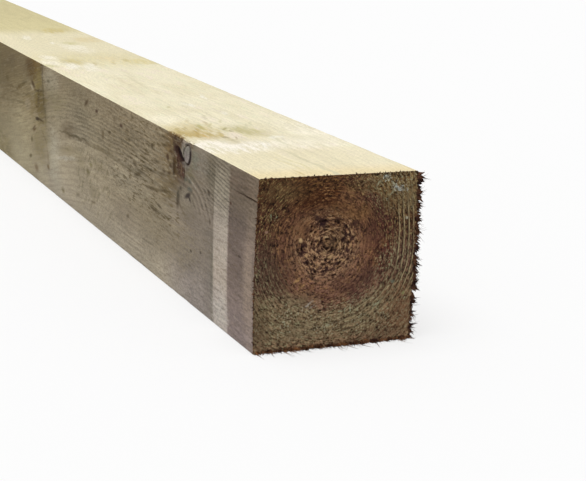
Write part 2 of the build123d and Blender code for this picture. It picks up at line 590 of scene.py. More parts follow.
SIDE_STAINS_AND_SHADOW = (
    # Whorl near the end: stains round the pocket and the hollow, and broad tones beside them
    Patch(142, 84, 17, 20, tone(122, 104, 74), 0.7, 0.2),
    Patch(135, 94, 11, 8, tone(108, 86, 52), 0.8, 0.3),
    Patch(108, 78, 20, 24, tone(112, 101, 83), 0.7, 0.2),
    Patch(84, 56, 18, 16, tone(124, 113, 99), 0.6, 0.2),
    Patch(70, 90, 8, 7, tone(104, 97, 80), 0.5, 0.2),
    Patch(88, 91, 12, 7, tone(132, 125, 112), 0.65, 0.2),
    Patch(97, 92, 6, 6, tone(112, 114, 97), 0.5, 0.2),
    Patch(105, 80.4, 7, 5, tone(112, 108, 84), 0.5, 0.2),
    # Dark strip just past the stacking band: painted shadow
    Patch(69, 20, 6, 18, tone(110, 102, 92), 0.4, 0.1),
    Patch(26, 91, 15, 6, tone(98, 82, 70), 0.5, 0.1),
    Patch(6, 91, 7, 6, tone(132, 113, 94), 0.5, 0.1),
    Patch(50, 10, 10, 11, tone(192, 184, 173), 0.85, 0.2),
    Patch(110, 30, 18, 12, tone(134, 123, 106), 0.6, 0.2),
    Patch(139, 62, 12, 10, tone(92, 82, 65), 0.7, 0.2),
    Patch(123, 82, 11, 9, tone(80, 56, 40), 0.95, 0.5),
    Patch(126, 82, 1.5, 6, tone(62, 40, 30), 0.8, 0.3, 14),
    Patch(120, 80, 1, 5, tone(118, 94, 70), 0.7, 0.3, 8),
    Patch(116.8, 85.4, 3, 3.6, tone(56, 34, 30), 0.88, 0.4),
    Patch(122.4, 79, 1.2, 4, tone(66, 44, 32), 0.7, 0.3, -6),
    Patch(128.6, 86.6, 1, 3.4, tone(116, 94, 70), 0.6, 0.3, 10),
    Patch(131, 82, 3.6, 10, tone(84, 64, 42), 0.85, 0.4, 10),
    Patch(126, 74.5, 7, 2.4, tone(84, 62, 42), 0.8, 0.3),
    Patch(115.2, 81.4, 2.5, 6.8, tone(84, 52, 43), 0.9, 0.4, 8),
    Patch(131, 69, 9, 6, tone(106, 91, 66), 0.65, 0.2),
    Patch(121, 98, 17, 3.4, tone(66, 46, 28), 0.95, 0.4),
    Patch(133, 91, 2, 6, tone(70, 52, 34), 0.8, 0.3, 10),
    Patch(150, 62, 26, 6, tone(122, 107, 80), 0.6, 0.2),
    # Second whorl: a brown band and its streaks, and broad tones on both sides of it
    Patch(545, 92, 50, 9, tone(102, 88, 66), 0.5, 0.1),
    Patch(520, 12, 34, 11, tone(172, 162, 138), 0.7, 0.1),
    Patch(572, 14, 34, 18, tone(122, 111, 82), 0.5, 0.1),
    Patch(470, 93, 23, 10, tone(104, 81, 38), 0.9, 0.4),
    Patch(492, 95, 12, 4, tone(92, 74, 50), 0.8, 0.3),
    Patch(452, 93, 4.6, 9, tone(82, 62, 32), 0.9, 0.5),
    Patch(459, 80, 13, 13, tone(134, 119, 72), 0.75, 0.3),
    Patch(449, 65, 17, 15, tone(98, 82, 40), 0.85, 0.4),
    Patch(480, 62, 24, 9, tone(110, 93, 52), 0.6, 0.2),
    Patch(505, 77, 10, 1.2, tone(98, 86, 58), 0.7, 0.3, 14),
    Patch(534, 63, 24, 1.1, tone(94, 80, 52), 0.7, 0.3, 2),
    Patch(522, 57.6, 28, 1, tone(94, 82, 54), 0.7, 0.3, 3),
    Patch(550, 67, 22, 1.3, tone(92, 78, 48), 0.7, 0.2, 4),
    Patch(566, 53, 26, 1.4, tone(100, 88, 60), 0.6, 0.2, 5),
    Patch(527, 45, 12, 1.3, tone(112, 98, 72), 0.6, 0.3, 6),
    Patch(500, 67.6, 14, 1.1, tone(98, 84, 54), 0.7, 0.3, 8),
    Patch(522, 60, 26, 9, tone(114, 100, 69), 0.3, 0.2),
    Patch(576, 56, 34, 18, tone(106, 92, 64), 0.6, 0.1),
    Patch(412, 62, 22, 9, tone(120, 110, 82), 0.5, 0.2),
    Patch(424, 46, 14, 6, tone(130, 118, 94), 0.5, 0.2),
    Patch(446, 11, 15, 10, tone(178, 167, 142), 0.85, 0.2),
    Patch(398, 10, 16, 9, tone(178, 169, 150), 0.6, 0.2),
    Patch(366, 92, 24, 8, tone(118, 106, 80), 0.5, 0.2),
    Patch(275, 66, 26, 8, tone(120, 107, 82), 0.5, 0.2),
    Patch(447.6, 90, 1.6, 9, tone(72, 58, 36), 0.9, 0.5),
    Patch(443, 74, 2.2, 10, tone(88, 76, 48), 0.8, 0.4, 14),
    Patch(436, 60, 1.8, 9, tone(96, 86, 60), 0.8, 0.4, 10),
    Patch(458, 70, 3.4, 6, tone(84, 68, 42), 0.7, 0.3),
    Patch(458, 77, 12, 1, tone(76, 60, 38), 0.8, 0.3, 8),
    Patch(412, 32, 18, 17, BLUE_GREY, 0.65, 0.2),
    Patch(440, 42, 10, 1.8, tone(112, 98, 68), 0.7, 0.3, -25),
    Patch(429, 27, 9, 2.4, tone(122, 104, 80), 0.7, 0.3, -66),
    Patch(422, 90, 22, 10, tone(162, 152, 128), 0.8, 0.3),
    Patch(340, 70, 60, 20, tone(156, 144, 116), 0.6, 0.2),
    Patch(350, 36, 70, 26, tone(172, 160, 136), 0.6, 0.1),
    Patch(366, 45, 24, 3, tone(136, 124, 94), 0.6, 0.2, 10),
    Patch(334, 43, 9, 5, tone(130, 120, 90), 0.5, 0.2),
    Patch(374, 37, 22, 1.6, tone(188, 180, 162), 0.6, 0.3, 10),
    Patch(286, 48, 12, 2.4, tone(124, 112, 86), 0.5, 0.2),
    Patch(302, 26, 9, 4, tone(126, 116, 90), 0.5, 0.2),
    Patch(226, 28, 18, 8, tone(128, 116, 100), 0.5, 0.1),
    Patch(520, 26, 50, 24, tone(166, 155, 124), 0.6, 0.2),
    Patch(450, 42, 24, 13, tone(136, 123, 86), 0.6, 0.2),
    Patch(450, 26, 22, 9, tone(140, 127, 92), 0.5, 0.2),
    Patch(226, 50, 36, 10, tone(168, 156, 131), 0.65, 0.2),
    Patch(493, 60, 8, 4, tone(156, 145, 124), 0.4, 0.1, 8),
    Patch(524, 70, 7, 2, tone(88, 72, 40), 0.8, 0.3, 14),
    Patch(512, 73.6, 8, 1.5, tone(92, 78, 46), 0.75, 0.3, 16),
    Patch(585, 88, 40, 20, tone(101, 88, 62), 0.6, 0.1),
    Patch(590, 6, 30, 12, tone(128, 116, 80), 0.6, 0.1),
    # Dark streaks between the whorls
    Patch(368, 60, 17, 6, tone(110, 95, 72), 0.7, 0.2, 6),
    Patch(345, 58.6, 44, 1.1, tone(88, 76, 52), 0.75, 0.3, 4),
    Patch(288, 61, 26, 1.3, tone(98, 86, 60), 0.65, 0.2, 4),
    Patch(225, 60.6, 40, 1.4, tone(104, 92, 66), 0.5, 0.2),
    Patch(150, 36, 50, 12, tone(136, 124, 102), 0.6, 0.1),
    Patch(176, 47, 28, 8, tone(122, 110, 88), 0.4, 0.1),
    Patch(226, 77, 26, 7, tone(120, 107, 80), 0.35, 0.1),
    Patch(408, 77, 26, 7, tone(126, 116, 80), 0.4, 0.1),
    Patch(486, 91, 14, 7, tone(86, 67, 33), 0.6, 0.2),
    Patch(484, 77, 11, 5, tone(140, 125, 94), 0.45, 0.2),
)

SIDE_MARKS = (
    # Bark pocket beside the knot
    Patch(124.4, 89.4, 8.6, 3.4, tone(60, 38, 32), 0.9, 0.5, -24),
    Patch(126.2, 91.2, 6, 2.3, tone(44, 24, 22), 0.93, 0.5, -12),
    Patch(120.8, 88, 3.8, 2.7, tone(30, 15, 15), 0.96, 0.5, -22),
    Patch(114.7, 84.2, 1.8, 1.6, tone(50, 25, 25), 0.92, 0.5),
    Patch(114.6, 80.3, 1.4, 1.5, tone(46, 30, 18), 0.92, 0.5),
    Patch(114.6, 77.4, 1.6, 0.9, tone(62, 38, 29), 0.85, 0.4),
    Patch(132.4, 80, 1.7, 4.4, tone(66, 50, 29), 0.85, 0.4, 8),
    Patch(131.4, 75.8, 2, 1.5, tone(58, 44, 24), 0.85, 0.4),
    Patch(120.6, 76.4, 3, 0.9, tone(70, 46, 36), 0.75, 0.3, -10),
    Patch(126.4, 83.4, 1.2, 2.6, tone(64, 42, 32), 0.7, 0.3),
    Patch(118.6, 81.6, 0.9, 3.2, tone(70, 46, 36), 0.7, 0.3),
    Patch(143.2, 83, 2.4, 1.6, tone(72, 54, 36), 0.85, 0.3, -30),
    Patch(136, 87.2, 2.6, 0.9, tone(74, 56, 38), 0.8, 0.3, 8),
    Patch(141, 91.4, 3.2, 0.8, tone(80, 62, 40), 0.75, 0.3, 6),
    Patch(149.6, 73.4, 3, 0.9, tone(80, 64, 44), 0.75, 0.3),
    Patch(139.6, 74.4, 3, 0.9, tone(78, 60, 40), 0.8, 0.3, 10),
    # Overgrown knot below: a dark crescent round a plain eye
    Patch(110, 64.3, 17.5, 10, tone(108, 97, 80), 0.45, 0.2),
    Patch(122, 62, 3, 6, tone(62, 50, 34), 0.9, 0.4, -14),
    Patch(118.4, 58.4, 3.4, 1, tone(78, 65, 50), 0.7, 0.3, -24),
    Patch(117, 68, 4, 1.2, tone(84, 70, 54), 0.7, 0.3, 40),
    Patch(108.4, 65, 13.4, 7.4, tone(134, 124, 106), 0.7, 0.5),
    Patch(107.4, 65, 9.6, 5.2, tone(112, 101, 84), 0.5, 0.6),
    Patch(107, 65.2, 8.4, 4.2, tone(140, 129, 112), 0.7, 0.6),
    Patch(106, 67.2, 5.4, 1.5, tone(56, 46, 42), 0.95, 0.4, 24),
    Patch(103, 66, 3.4, 1, tone(60, 50, 46), 0.9, 0.4, -30),
    Patch(113, 72.6, 12, 1.1, tone(104, 92, 78), 0.7, 0.3, -8),
    Patch(98, 76, 9, 0.9, tone(160, 150, 134), 0.6, 0.3, -16),
    # Encased knot: pale ring, dark ring and grey core
    Patch(112, 91.4, 8.6, 8.8, tone(138, 129, 117), 0.85, 0.7),
    Patch(109.6, 91.8, 6.9, 6.9, tone(49, 40, 38), 0.93, 0.8),
    Patch(115.8, 91.6, 2.2, 5, tone(110, 105, 92), 0.85, 0.6),
    Patch(110.6, 92, 4.2, 5.7, KNOT_GREY, 1, 0.85),
    Patch(110.9, 94.6, 3.4, 2.6, tone(122, 120, 106), 0.7, 0.3),
    Patch(111.7, 90.6, 1.2, 3, tone(118, 108, 102), 0.6, 0.2),
    Patch(116.4, 97, 3.6, 0.9, tone(150, 138, 122), 0.7, 0.3, -50),
    # Dark blots between the two knots
    Patch(109, 83, 3, 1.2, tone(84, 76, 64), 0.6, 0.3),
    Patch(111.4, 76.2, 3.2, 1.3, tone(84, 86, 74), 0.65, 0.4, 10),
    Patch(103.8, 76.6, 3.6, 1.2, tone(84, 84, 74), 0.6, 0.4, -12),
    Patch(102.8, 71.8, 4.4, 1.3, tone(82, 86, 78), 0.6, 0.4, 6),
    Patch(118.6, 69.3, 1.9, 1.2, tone(70, 62, 48), 0.8, 0.4, 20),
    Patch(122.9, 63.8, 2.3, 2.2, tone(74, 68, 54), 0.75, 0.4),
    # Second whorl
    Patch(461, 53, 6.4, 1.5, tone(52, 38, 22), 0.95, 0.4, 5),
    Patch(450, 53.6, 8, 1, tone(76, 62, 38), 0.85, 0.3, 2),
    Patch(464, 62.6, 3.4, 1, tone(84, 68, 40), 0.7, 0.3),
    Patch(470.6, 43.4, 5.4, 2, tone(88, 66, 40), 0.9, 0.3, 22),
    Patch(466, 45.6, 6, 0.8, tone(168, 152, 120), 0.6, 0.3, 22),
    Patch(476.5, 79.8, 6, 2, tone(76, 58, 34), 0.9, 0.4, -18),
    Patch(480, 76.4, 4.4, 1.2, tone(176, 164, 140), 0.7, 0.3, -18),
    # Flecks and small dark streaks
    Patch(296.7, 87, 3.4, 1.3, BARK_BROWN, 0.85, 0.4, 8),
    Patch(322.7, 89, 5, 1.9, tone(84, 66, 42), 0.85, 0.3, 28),
    Patch(239.6, 86.7, 3.2, 1.3, BARK_BROWN, 0.8, 0.4),
    Patch(226, 86, 3.4, 1.1, tone(84, 70, 46), 0.7, 0.3),
    Patch(280, 72.7, 2.8, 3.2, tone(90, 74, 48), 0.7, 0.2),
    Patch(264.7, 77.3, 3.4, 1, tone(84, 70, 46), 0.8, 0.3, 6),
    Patch(221, 80, 3, 1, tone(84, 70, 46), 0.7, 0.3),
    Patch(207, 67, 4, 1.4, tone(88, 74, 50), 0.7, 0.3),
    Patch(308, 45.3, 3.6, 1.8, tone(112, 104, 66), 0.7, 0.2),
    Patch(316, 38.7, 3.8, 2.2, tone(104, 94, 60), 0.75, 0.2),
    Patch(303, 18, 5, 1.2, tone(112, 98, 72), 0.6, 0.2, 8),
    Patch(343, 15, 5, 1.2, tone(104, 94, 72), 0.6, 0.2, 8),
    Patch(220.7, 27.3, 2.6, 1.4, tone(92, 80, 58), 0.7, 0.2, 20),
    Patch(385, 9, 4, 1.8, tone(108, 98, 62), 0.75, 0.2),
    Patch(480, 32.7, 3.2, 2.2, tone(96, 84, 56), 0.75, 0.2, 20),
    Patch(485, 17.3, 4.4, 1.5, tone(92, 80, 52), 0.8, 0.2, 14),
    Patch(429, 18.7, 3.6, 1.8, tone(104, 84, 56), 0.8, 0.2),
    Patch(466.7, 10.7, 5.5, 3, tone(114, 92, 64), 0.7, 0.2),
    Patch(566.7, 72, 5.4, 3, tone(88, 76, 42), 0.6, 0.1, 8),
    Patch(430, 89, 4, 1.2, tone(100, 92, 68), 0.7, 0.2),
    Patch(37.7, 78, 1.2, 1, BARK_BROWN, 0.85, 0.4),
    Patch(98, 34.5, 1.6, 0.9, tone(70, 60, 50), 0.85, 0.4),
    Patch(81.7, 37.6, 1.6, 0.9, tone(78, 68, 56), 0.8, 0.4),
    Patch(100, 24.7, 3, 0.7, tone(96, 86, 72), 0.7, 0.3),
    Patch(71.7, 76.7, 2.4, 1.2, tone(74, 62, 50), 0.85, 0.4, -24),
    Patch(68.2, 60, 1.6, 1.6, tone(88, 76, 62), 0.7, 0.3),
    Patch(21.7, 51, 2.2, 0.6, tone(70, 58, 50), 0.85, 0.4),
    Patch(19, 46, 2.6, 0.7, tone(92, 78, 68), 0.7, 0.3, -10),
    Patch(174, 85, 2.4, 1.4, tone(76, 62, 40), 0.85, 0.3),
    Patch(144.5, 84, 2.6, 1.6, tone(64, 46, 28), 0.85, 0.3),
    Patch(139, 88, 3.4, 1.2, tone(68, 50, 30), 0.85, 0.3, 10),
    Patch(138, 79, 3, 1.2, tone(70, 52, 32), 0.8, 0.3),
    Patch(157, 49, 5, 0.9, tone(72, 60, 44), 0.85, 0.3, -6),
    Patch(167, 44.5, 7.5, 0.9, tone(76, 64, 46), 0.85, 0.3, -4),
    Patch(202.5, 60, 5, 1.3, tone(80, 68, 46), 0.8, 0.3, 10),
    Patch(195, 64, 10, 0.9, tone(86, 74, 52), 0.8, 0.3),
    Patch(170, 57.6, 14, 1.1, tone(84, 71, 48), 0.8, 0.3, 5),
    Patch(150, 60.4, 9, 1, tone(84, 71, 48), 0.8, 0.3, 8),
    Patch(178, 68.6, 11, 0.9, tone(88, 76, 52), 0.75, 0.3),
    Patch(152, 71, 8, 0.9, tone(86, 72, 48), 0.75, 0.3, 4),
    Patch(164, 76.6, 6, 1, tone(84, 70, 46), 0.75, 0.3),
    Patch(150, 90, 5, 0.9, tone(84, 70, 46), 0.75, 0.3, 6),
    Patch(186, 74, 7, 0.8, tone(88, 76, 52), 0.7, 0.3),
)

TOP_STAINS_AND_HIGHLIGHTS = (
    # Whorl near the end
    Patch(138, -30, 30, 20, tone(212, 198, 148), 0.3, 0.2),
    Patch(140, -36, 25, 13, tone(198, 177, 121), 0.8, 0.5, -8),
    Patch(130, -41, 11, 6, tone(184, 160, 100), 0.5, 0.2),
    Patch(120, -34, 9, 6, tone(192, 170, 114), 0.6, 0.3),
    Patch(137, -3, 15, 10, OLIVE_TOP, 0.8, 0.2),
    Patch(122, -13, 11, 3.6, PINK_TOP, 0.8, 0.3, -12),
    Patch(122, -26, 10, 5, tone(196, 178, 126), 0.8, 0.3),
    Patch(116, -22, 4.4, 2.2, tone(118, 102, 66), 0.95, 0.4, -10),
    Patch(106, -20.5, 4.2, 1.9, tone(138, 122, 82), 0.95, 0.4, -10),
    Patch(137, -9, 3, 1.2, tone(136, 122, 86), 0.85, 0.3, -10),
    Patch(112, -17, 12, 0.8, tone(176, 158, 124), 0.8, 0.3, -14),
    Patch(122, -33, 7, 0.9, tone(200, 168, 108), 0.6, 0.3, -12),
    Patch(156, -38, 12, 10, tone(226, 214, 176), 0.6, 0.2),
    Patch(154, -25, 11, 2, tone(184, 174, 116), 0.7, 0.3, -14),
    Patch(146, -11, 5, 1, tone(166, 156, 114), 0.75, 0.3, -24),
    Patch(132, -20, 12, 1.4, tone(190, 172, 118), 0.7, 0.3, -12),
    Patch(144, -31, 12, 1.2, tone(176, 152, 94), 0.55, 0.3, -16),
    Patch(128, -36, 12, 1.4, tone(180, 154, 94), 0.5, 0.3, -16),
    Patch(104, 12, 11, 1, tone(204, 198, 176), 0.7, 0.3, -18),
    Patch(94, -4, 10, 1, tone(206, 204, 186), 0.7, 0.3, -12),
    # White streak beside the grey one: painted highlight
    Patch(94, -8, 10, 2, tone(252, 249, 238), 0.8, 0.3, -12),
    Patch(150, 6, 10, 1.2, tone(200, 196, 160), 0.7, 0.3, -20),
    Patch(158, 12, 8, 1, tone(204, 200, 168), 0.7, 0.3, -24),
    Patch(142, -43, 12, 1.4, tone(176, 156, 98), 0.5, 0.3, -14),
    Patch(150, -37, 10, 1.2, tone(180, 160, 102), 0.5, 0.3, -16),
    Patch(134, -26, 10, 1.2, tone(186, 166, 112), 0.5, 0.3, -16),
    Patch(158, -16, 9, 1, tone(196, 186, 140), 0.6, 0.3, -20),
    Patch(170, -4, 8, 1, tone(202, 194, 154), 0.6, 0.3, -24),
    Patch(178, -24, 8, 1, tone(206, 192, 152), 0.6, 0.3, -16),
    Patch(168, -16, 9, 1.2, tone(202, 188, 152), 0.8, 0.3, -12),
    Patch(188, -8, 9, 1.2, tone(204, 196, 166), 0.7, 0.3, -12),
    Patch(125, -49.6, 10, 2.6, tone(122, 94, 54), 0.9, 0.4),
    Patch(138, -49.6, 5, 2.2, tone(126, 100, 58), 0.9, 0.4),
    Patch(112, -49.8, 3, 1.6, tone(110, 88, 58), 0.8, 0.4),
    # White patches round the whorl: painted highlights
    Patch(112, 10.5, 5, 4.2, tone(244, 241, 226), 0.7, 0.3),
    Patch(92, -30, 19, 24, tone(250, 243, 230), 0.8, 0.3),
    Patch(90, 14, 14, 22, tone(248, 240, 222), 0.5, 0.2),
    Patch(124, 40, 30, 10, tone(248, 240, 220), 0.7, 0.2),
    Patch(126, 7, 9, 6, OLIVE_TOP, 0.35, 0.2),
    Patch(107, -22, 9, 8, tone(200, 188, 146), 0.65, 0.2),
    Patch(107, -6, 8, 6, tone(224, 212, 176), 0.5, 0.2),
    Patch(104, 8, 5, 1.2, tone(206, 200, 170), 0.7, 0.3, -20),
    Patch(106, 32, 8, 17, tone(228, 221, 194), 0.6, 0.2),
    # White patch past the whorl: painted highlight
    Patch(183, -38, 17, 9, tone(246, 238, 212), 0.5, 0.2),
    # Grey streaks that run out at the end
    Patch(34, -2, 46, 1.6, GREY_TOP, 0.9, 0.3, 1),
    Patch(32, -11, 30, 1, tone(218, 208, 168), 0.8, 0.3, 3),
    Patch(30, -16, 34, 0.8, tone(220, 208, 166), 0.7, 0.3, 3),
    Patch(7, -21, 9, 0.8, tone(206, 188, 140), 0.8, 0.3),
    # Second whorl
    Patch(461, -20, 16, 7.4, tone(186, 168, 108), 0.85, 0.2, -10),
    Patch(470, 0, 36, 50, tone(216, 205, 160), 0.6, 0.2),
    Patch(456, 38, 15, 11, tone(216, 203, 152), 0.8, 0.2, -20),
    Patch(475, 14, 14, 8, tone(224, 209, 168), 0.7, 0.2),
    Patch(438, -44, 7, 4, tone(204, 198, 154), 0.8, 0.3),
    Patch(429, -14, 18, 5, PALE, 0.8, 0.2, -12),
    Patch(434, -28, 16, 5, PALE, 0.9, 0.2, -8),
    Patch(487, -33, 12, 6, PALE, 0.7, 0.2),
    Patch(458, -39, 15, 7, PALE, 0.6, 0.2),
    Patch(452, 12, 8, 1.6, tone(204, 190, 142), 0.7, 0.3, -16),
    Patch(447, -6, 7, 1.4, tone(202, 188, 142), 0.7, 0.3, -14),
    Patch(464, 27, 9, 1.8, tone(200, 186, 138), 0.6, 0.3, -18),
    # Streaks and pale flecks between the whorls
    Patch(293, -4, 14, 1.4, GREY_TOP, 0.7, 0.3, -6),
    Patch(388, 4, 22, 1.6, GREY_TOP, 0.6, 0.3, -6),
    Patch(350, -3, 34, 1.4, GREY_TOP, 0.6, 0.3, -4),
    Patch(340, -13, 34, 1.6, tone(220, 208, 178), 0.6, 0.3, -4),
    Patch(268, 22, 12, 1.4, PALE, 0.9, 0.3, -12),
    Patch(237, -1, 7, 3.2, PALE, 0.9, 0.3),
    Patch(232, -18, 4, 1.2, tone(196, 186, 144), 0.7, 0.3, -14),
    Patch(200, 11, 7, 1.8, PALE, 0.8, 0.3, -10),
    # Third whorl and the duller wood beyond it
    Patch(548, 8, 28, 9, PALE, 0.6, 0.2),
    Patch(580, 12, 9, 6, tone(204, 196, 146), 0.8, 0.2, -10),
    Patch(607, 37, 18, 12, tone(216, 199, 154), 0.7, 0.2, -20),
    Patch(583, -4, 8, 1.8, PALE, 0.8, 0.3, -12),
    Patch(625, -17, 14, 3, PALE, 0.7, 0.3, -8),
    Patch(678, 23, 18, 10, tone(196, 180, 122), 0.8, 0.2, -16),
)


@dataclass(frozen=True)
class Figure:
    """What the grain does at a place on a long face."""

    place: Socket
    from_end: Signal
    y: Signal
    z: Signal
    fine: Signal
    fibre: Signal
    mottle: Signal
    cloud: Signal
    dash: Signal
    line: Signal
    knots: Signal


@dataclass(frozen=True)
class LongGrain:
    """The grain that all four long faces share: fibres, rings and knots."""

    heart: Heart
    name: str

    def figure(self, bench: Bench) -> Figure:
        """Work out the grain.

        Args:
            bench: the tree to add to.

        Returns:
            Its parts.
        """
        place = bench.place()
        x, y, z = bench.split(place)
        from_end = HALF_LENGTH - x
        swept = bench.vector("ADD", place, bench.join(0.0, 0.0, from_end.rise(300.0, 660.0, 52.0)))
        wavy = bench.drift(swept, 80.0, (0.0, 4.0, 4.0))
        fine = bench.grain(place, (2.6, 1.0, 1.0), 3.0, 0.65)
        fibre = bench.grain(wavy, (60.0, 1.8, 1.8), 2.0, 0.55)
        mottle = bench.grain(wavy, (14.0, 2.6, 2.6), 3.0, 0.6)
        dash = bench.grain(wavy, (9.5, 1.6, 1.6), 2.0, 0.6)
        cloud = bench.grain(place, (60.0, 22.0, 22.0), 2.0, 0.5)
        _, wavy_y, wavy_z = bench.split(wavy)
        aside, up = self.heart.offsets(from_end, wavy_y, wavy_z)
        knots, swell = self.knots(bench, from_end, y, z)
        _, count = self.heart.rings(bench, aside, up)
        late = (count - swell).fraction()
        line = late.rise(0.35, 0.8) * late.rise(1.0, 0.86)
        return Figure(place, from_end, y, z, fine, fibre, mottle, cloud, dash, line, knots)

    def knots(self, bench: Bench, from_end: Signal, y: Signal, z: Signal) -> tuple[Signal, Signal]:
        """Find the nearest branch, and how far the branches hold back the rings.

        Args:
            bench: the tree to add to.
            from_end: mm from the near end.
            y: mm towards +Y.
            z: mm above the resting face.

        Returns:
            The spread of the nearest branch, and the number of rings that are held back.
        """
        across = y - self.heart.across
        rise = z - self.heart.height
        spreads = [branch.spread(bench, from_end, across, rise) for branch in self.heart.branches]
        nearest, swell = spreads[0], spreads[0].rise(5.0, 0.0, 3.0)
        for spread in spreads[1:]:
            nearest = bench.math("MINIMUM", nearest, spread)
            swell = swell + spread.rise(5.0, 0.0, 3.0)
        return nearest, swell

    def close(self, bench: Bench, figure: Figure, colour: Socket) -> bpy.types.Material:
        """Add what every long face has: knots, dark bark and painted shade in the hollows, and the relief of
        the fibres.

        Args:
            bench: the tree to add to.
            figure: the grain.
            colour: the face's colour so far.

        Returns:
            The finished material.
        """
        colour = bench.mix(figure.knots.rise(1.08, 0.86, 0.7), colour, bench.shade(colour, 0.55))
        colour = bench.mix((figure.knots - 1.0).size().rise(0.16, 0.02, 0.6), colour, BARK_BROWN)
        # Darker by depth: the dark bark in the pocket and the knot's ring, and painted shade in the check,
        # the seam and the chipped arris
        worn = bench.attribute(SUNK_DEPTH)
        colour = bench.mix(worn.rise(0.75, 1.2, 0.8), colour, BARK_BROWN)
        colour = bench.mix(worn.rise(1.0, 1.7), colour, BARK_BLACK)
        height = figure.fine * 0.5 + figure.fibre * 0.3 + figure.mottle * 0.3
        return bench.finish(colour, figure.fine * 0.12 + 0.76, height, depth=0.35, strength=0.8)


@dataclass(frozen=True)
class WeatheredSide(LongGrain):
    """The grey-brown finish of the sides and the resting face."""

    stains: tuple[Patch, ...] = ()
    marks: tuple[Patch, ...] = ()

    def make(self) -> bpy.types.Material:
        """Build the material.

        Returns:
            The finished material.
        """
        bench = Bench(bpy.data.materials.new(self.name))
        grain = self.figure(bench)
        from_end, z = grain.from_end, grain.z
        # Lighter towards the foot: painted light thrown up from the white floor, over the wood's own tone
        colour = bench.mix(z.rise(0.0, 44.0), SIDE_LOW, SIDE_MIDDLE)
        colour = bench.mix(z.rise(58.0, 92.0), colour, SIDE_HIGH)
        colour = bench.mix(from_end.rise(380.0, 600.0, 0.8) * z.rise(44.0, 84.0), colour, SIDE_FAR)
        colour = bench.mix(from_end.rise(430.0, 500.0), colour, (1.0, 0.985, 0.87, 1.0), "MULTIPLY")
        if self.stains:
            colour = self.near_end(bench, grain, colour)
        flat = bench.join(from_end, z, 0.0)
        waved = bench.drift(bench.drift(flat, 9.0, (6.0, 3.5, 0.0)), 2.4, (2.4, 1.6, 0.0))
        fray = grain.mottle.rise(0.32, 0.68) + grain.fine.rise(0.32, 0.68, 0.7) + 0.15
        colour = lay(bench, colour, waved, fray, self.stains)
        rough = from_end.rise(90.0, 140.0, 0.7) * z.rise(30.0, 46.0) + 0.3
        rough = rough * (from_end.rise(300.0, 190.0, 0.65) + 0.35)
        colour = bench.mix(self.moss(bench, grain), colour, MOSSY)
        colour = bench.mix(grain.dash.rise(0.48, 0.34) * rough * 0.85, colour, STREAK_DARK)
        colour = bench.mix(grain.dash.rise(0.56, 0.7) * rough * 0.4, colour, STREAK_LIGHT)
        crisp = grain.fine * 1.2 + 0.4
        colour = lay(bench, colour, bench.drift(flat, 2.4, (1.2, 0.9, 0.0)), crisp, self.marks)
        return self.close(bench, grain, bench.shade(colour, self.lightness(bench, grain, rough)))

    @staticmethod
    def moss(bench: Bench, grain: Figure) -> Signal:
        """Draw the mossy marks that lie across the grain, low down between the whorls.

        Args:
            bench: the tree to add to.
            grain: the grain.

        Returns:
            How much of them shows.
        """
        from_end, z = grain.from_end, grain.z
        slant = bench.join(from_end - z, from_end + z, 0.0)
        mossy = bench.grain(slant, (15.0, 6.0, 6.0), 2.0, 0.6).rise(0.5, 0.68, 0.55)
        mossy = mossy * from_end.rise(225.0, 280.0) * from_end.rise(372.0, 330.0)
        return mossy * z.rise(60.0, 50.0) * z.rise(4.0, 20.0)

    def lightness(self, bench: Bench, grain: Figure, rough: Signal) -> Signal:
        """Work out how much lighter or darker the grain makes the side.

        Args:
            bench: the tree to add to.
            grain: the grain.
            rough: how rough the sawn face is.

        Returns:
            1 where the colour stays as it is.
        """
        streaks = grain.mottle.rise(0.34, 0.66) - 0.5
        threads = grain.fibre.rise(0.36, 0.64) - 0.5
        grit = grain.fine.rise(0.34, 0.66) - 0.5
        calm = grain.from_end.rise(240.0, 420.0, -0.18) + 0.34
        strength = streaks * rough * 0.2 + threads * (rough * 0.5 + 0.2) * 0.34 + grit * calm + 1.0
        lines = grain.line * (grain.cloud.rise(0.35, 0.6, 0.1) + 0.03)
        if self.stains:
            lines = lines * (1.0 - grain.from_end.rise(58.0, 80.0) * grain.from_end.rise(172.0, 140.0))
        strength = strength + (grain.cloud - 0.5) * 0.6 - lines
        return strength - self.rows(bench, grain)

    def near_end(self, bench: Bench, grain: Figure, colour: Socket) -> Socket:
        """Colour the last of the near end, with the band that a stacking stick left bare.

        Args:
            bench: the tree to add to.
            grain: the grain.
            colour: the side's colour.

        Returns:
            The changed colour.
        """
        z = grain.z
        along = grain.from_end - (z - 50.0) * 0.028
        soft = (grain.mottle - 0.5) * 2.5
        colour = bench.mix(along.rise(165.0, 95.0), colour, (0.95, 0.95, 1.12, 1.0), "MULTIPLY")
        colour = bench.mix(along.rise(100.0, 64.0) * z.rise(56.0, 84.0, 0.45), colour, tone(118, 112, 92))
        colour = bench.mix(along.rise(42.0, 38.0), colour, (0.86, 0.79, 0.8, 1.0), "MULTIPLY")
        shaded = along.rise(10.0, 15.0) * along.rise(42.0, 38.0) * z.rise(84.0, 70.0)
        shaded = shaded * (z.rise(20.0, 40.0, 0.4) + 0.6)
        colour = bench.mix(shaded, colour, (0.7, 0.7, 0.73, 1.0), "MULTIPLY")
        pale = along.rise(20.0, 12.0) * along.rise(2.0, 6.0) * z.rise(2.0, 34.0) * z.rise(70.0, 52.0)
        colour = bench.mix(pale * 0.62, colour, tone(158, 140, 124))
